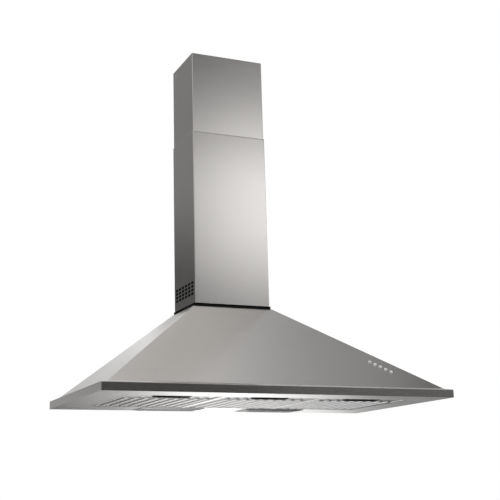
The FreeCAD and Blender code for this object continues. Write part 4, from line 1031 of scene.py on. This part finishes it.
# Each card's middle, its size, its up and across stops, and the directions it lies along if not X and Z.
# A stop is (metres from the middle, brightness). The two brightnesses are multiplied.
even = ((0, 1),)
cards = {
    "frontCard": (
        (1.3, -3, 1.1), (5, 4.6),
        ((-2.3, 0.09), (-0.82, 0.11), (-0.5, 0.12), (-0.25, 0.5), (-0.1, 0.92), (0, 1.13), (0.13, 1.28),
         (0.31, 1.55), (0.49, 1.7), (0.62, 1.68), (0.8, 1.3), (0.97, 0.58), (1.17, 0.25), (1.5, 0.15)),
        ((-2.5, 0.7), (-0.4, 0.35), (-0.26, 0.5), (-0.15, 0.85), (-0.05, 1.04), (0.2, 1))),
    "ceilingCard": (
        (1.6, 0.2, 3), (5, 4.8), ((-1.1, 1.3), (-0.7, 1)),
        ((-2.5, 0.8), (-0.85, 0.68), (-0.56, 0.78), (-0.25, 0.54), (0.02, 0.43), (0.28, 0.36), (0.54, 0.35),
         (0.75, 0.32), (0.96, 0.12), (2.5, 0.1)), alongX, alongY),
    "backLeftCard": (
        (-2.1, 3, 1), (3.6, 5.3),
        ((-2.65, 0.12), (-1.1, 0.14), (-0.75, 0.42), (-0.6, 0.4), (-0.3, 0.1), (0.08, 0.08), (0.35, 0.18),
         (0.6, 0.25), (1.4, 0.25), (2.5, 0.3)), even),
    "leftCard": (
        (-3.9, 0, 1.2), (6.4, 5.6), ((-2.8, 0.15), (-0.6, 0.18), (0.2, 0.25), (1, 0.5), (2.8, 0.55)), even,
        alongY),
    "rightCard": (
        (4.3, 0, 1.2), (6.4, 5.6), ((-2.8, 0.2), (-0.8, 0.28), (0.2, 0.5), (1, 0.8), (2.8, 0.7)),
        ((-3.2, 0.7), (-1, 1), (0.6, 0.85), (3.2, 0.6)), alongY),
    "frontLeftCard": (
        (-3.6, -2.4, 1.2), (4.2, 5.6), ((-2.8, 0.25), (-0.8, 0.35), (0.2, 0.6), (1, 0.85), (2.8, 0.7)),
        ((-2.1, 0.7), (0, 1), (2.1, 0.8)), np.array([1, -0.35, 0])),
    "sideFaceCard": (
        (0.6, 2.98, 1), (2, 1.3),
        ((-0.28, 0.75), (-0.2, 0.95), (-0.13, 1.65), (-0.03, 1.65), (0.04, 1.2), (0.11, 0.6), (0.65, 0.5)),
        ((-0.4, 0.6), (-0.15, 0.82), (0, 1.35), (0.12, 0.45), (0.25, 0.15))),
    "lowBackCard": (
        (1.4, 3.02, -0.05), (4.8, 1.7), ((-0.85, 1.4), (-0.55, 1.6), (-0.25, 1.85), (0.65, 1.7)),
        ((-2.4, 0.02), (-1, 0.03), (-0.8, 0.09), (-0.66, 0.24), (-0.52, 0.48), (-0.38, 0.78), (-0.15, 1.25),
         (0.1, 1.15), (0.35, 0.93), (0.5, 0.8), (0.65, 0.65), (0.8, 0.42), (0.95, 0.32), (1.1, 0.27),
         (1.4, 0.24), (2.4, 0.16))),
    "footCard": (
        (1, 3.04, -1.25), (5, 2.4), even,
        ((-1.3, 0.1), (-0.95, 0.14), (-0.8, 0.65), (-0.65, 1.35), (-0.4, 1.45), (0, 1.2), (0.13, 0.75),
         (0.27, 0.2), (0.4, 0.08), (2.5, 0.05))),
    "floorCard": (
        (0.8, 1.2, -1.6), (6, 4.4), ((-2.2, 0.3), (0.25, 0.35), (0.5, 1), (0.9, 1), (1.3, 0.3), (1.5, 0.15)),
        ((-3, 0.8), (-0.5, 1.4), (-0.15, 1.9), (0, 1.4), (0.1, 0.25), (0.4, 0.12), (3, 0.3)),
        alongX, alongY),
}


def makeCard(name, centre, size, up, across, right=alongX, rise=alongZ):
    # A sheet with its brightness as a vertex value, seen by reflections alone. Its edges fade out.
    halfU, halfV = (length / 2 for length in size)
    gridU, gridV = np.meshgrid(np.linspace(-halfU, halfU, studio["cardSteps"]),
                               np.linspace(-halfV, halfV, studio["cardSteps"]), indexing="ij")
    mesh = newMesh(name, *surface(np.array(centre) + gridU[..., None] * right + gridV[..., None] * rise))
    level = np.interp(gridU, *np.transpose(across)) * np.interp(gridV, *np.transpose(up))
    edge = np.minimum(halfU - np.abs(gridU), halfV - np.abs(gridV))
    material, tree = newMaterial(name)
    tree.nodes.clear()
    readers = []
    for label, data in (("level", level), ("cover", np.clip(edge / studio["cardFade"], 0, 1))):
        values = data.ravel().astype(np.float32)
        mesh.attributes.new(label, "FLOAT", "POINT").data.foreach_set("value", values)
        readers.append(addNode(tree, "ShaderNodeAttribute", {}, "Fac", attribute_name=label))
    glow = addNode(tree, "ShaderNodeEmission", {"Strength": readers[0]})
    clear = addNode(tree, "ShaderNodeBsdfTransparent", {})
    mixed = addNode(tree, "ShaderNodeMixShader", {0: readers[1], 1: clear, 2: glow})
    feed(tree, tree.nodes.new("ShaderNodeOutputMaterial"), {"Surface": mixed})
    mesh.materials.append(material)
    sheet = addObject(name, mesh)
    for kind in ("camera", "diffuse", "shadow", "transmission"):
        setattr(sheet, "visible_" + kind, False)


lamps = {
    "keyLight": {"place": (-2.6, -2.8, 2.6), "target": (0, -0.25, 0.3), "size": (2.2, 2.2), "power": 60},
    "fillLight": {"place": (2.8, -2.2, 1.4), "target": (0, -0.25, 0.3), "size": (2.4, 2), "power": 26},
    "lowLight": {"place": (0.2, -1.8, -0.8), "target": (0, -0.25, 0.1), "size": (2.2, 1.2), "power": 12},
}


def makeLamp(name, settings):
    # Soft area light that metal doesn't mirror.
    light = bpy.data.lights.new(name, "AREA")
    light.shape = "RECTANGLE"
    light.size, light.size_y = settings["size"]
    light.energy = settings["power"]
    lamp = addObject(name, light)
    lamp.location = settings["place"]
    lamp.rotation_mode = "QUATERNION"
    away = Vector(settings["place"]) - Vector(settings["target"])
    lamp.rotation_quaternion = away.to_track_quat("Z", "Y")
    lamp.visible_glossy = False


makeFloor()
makeWorld()
for name, card in cards.items():
    makeCard(name, *card)
for name, settings in lamps.items():
    makeLamp(name, settings)
print("studio made")


# camera at the photograph's place: angles in degrees, focal length in millimetres on a 36 mm sensor

view = {"place": (-1.04387, -2.58166, -0.22517), "yaw": -22.75, "pitch": 13.68, "roll": -1.21,
        "lens": 72.816, "sensor": 36, "shiftX": 0.0555}


def makeCamera():
    yaw, pitch, roll = (math.radians(view[key]) for key in ("yaw", "pitch", "roll"))
    data = bpy.data.cameras.new("camera")
    data.sensor_width = view["sensor"]
    data.lens = view["lens"]
    data.shift_x = view["shiftX"]
    camera = addObject("camera", data)
    turn = (Matrix.Rotation(yaw, 4, "Z") @ Matrix.Rotation(math.pi / 2 + pitch, 4, "X")
            @ Matrix.Rotation(roll, 4, "Z"))
    camera.matrix_world = Matrix.Translation(view["place"]) @ turn
    bpy.context.scene.camera = camera


makeCamera()
bpy.context.scene.view_settings.view_transform = "Standard"

print("finished")
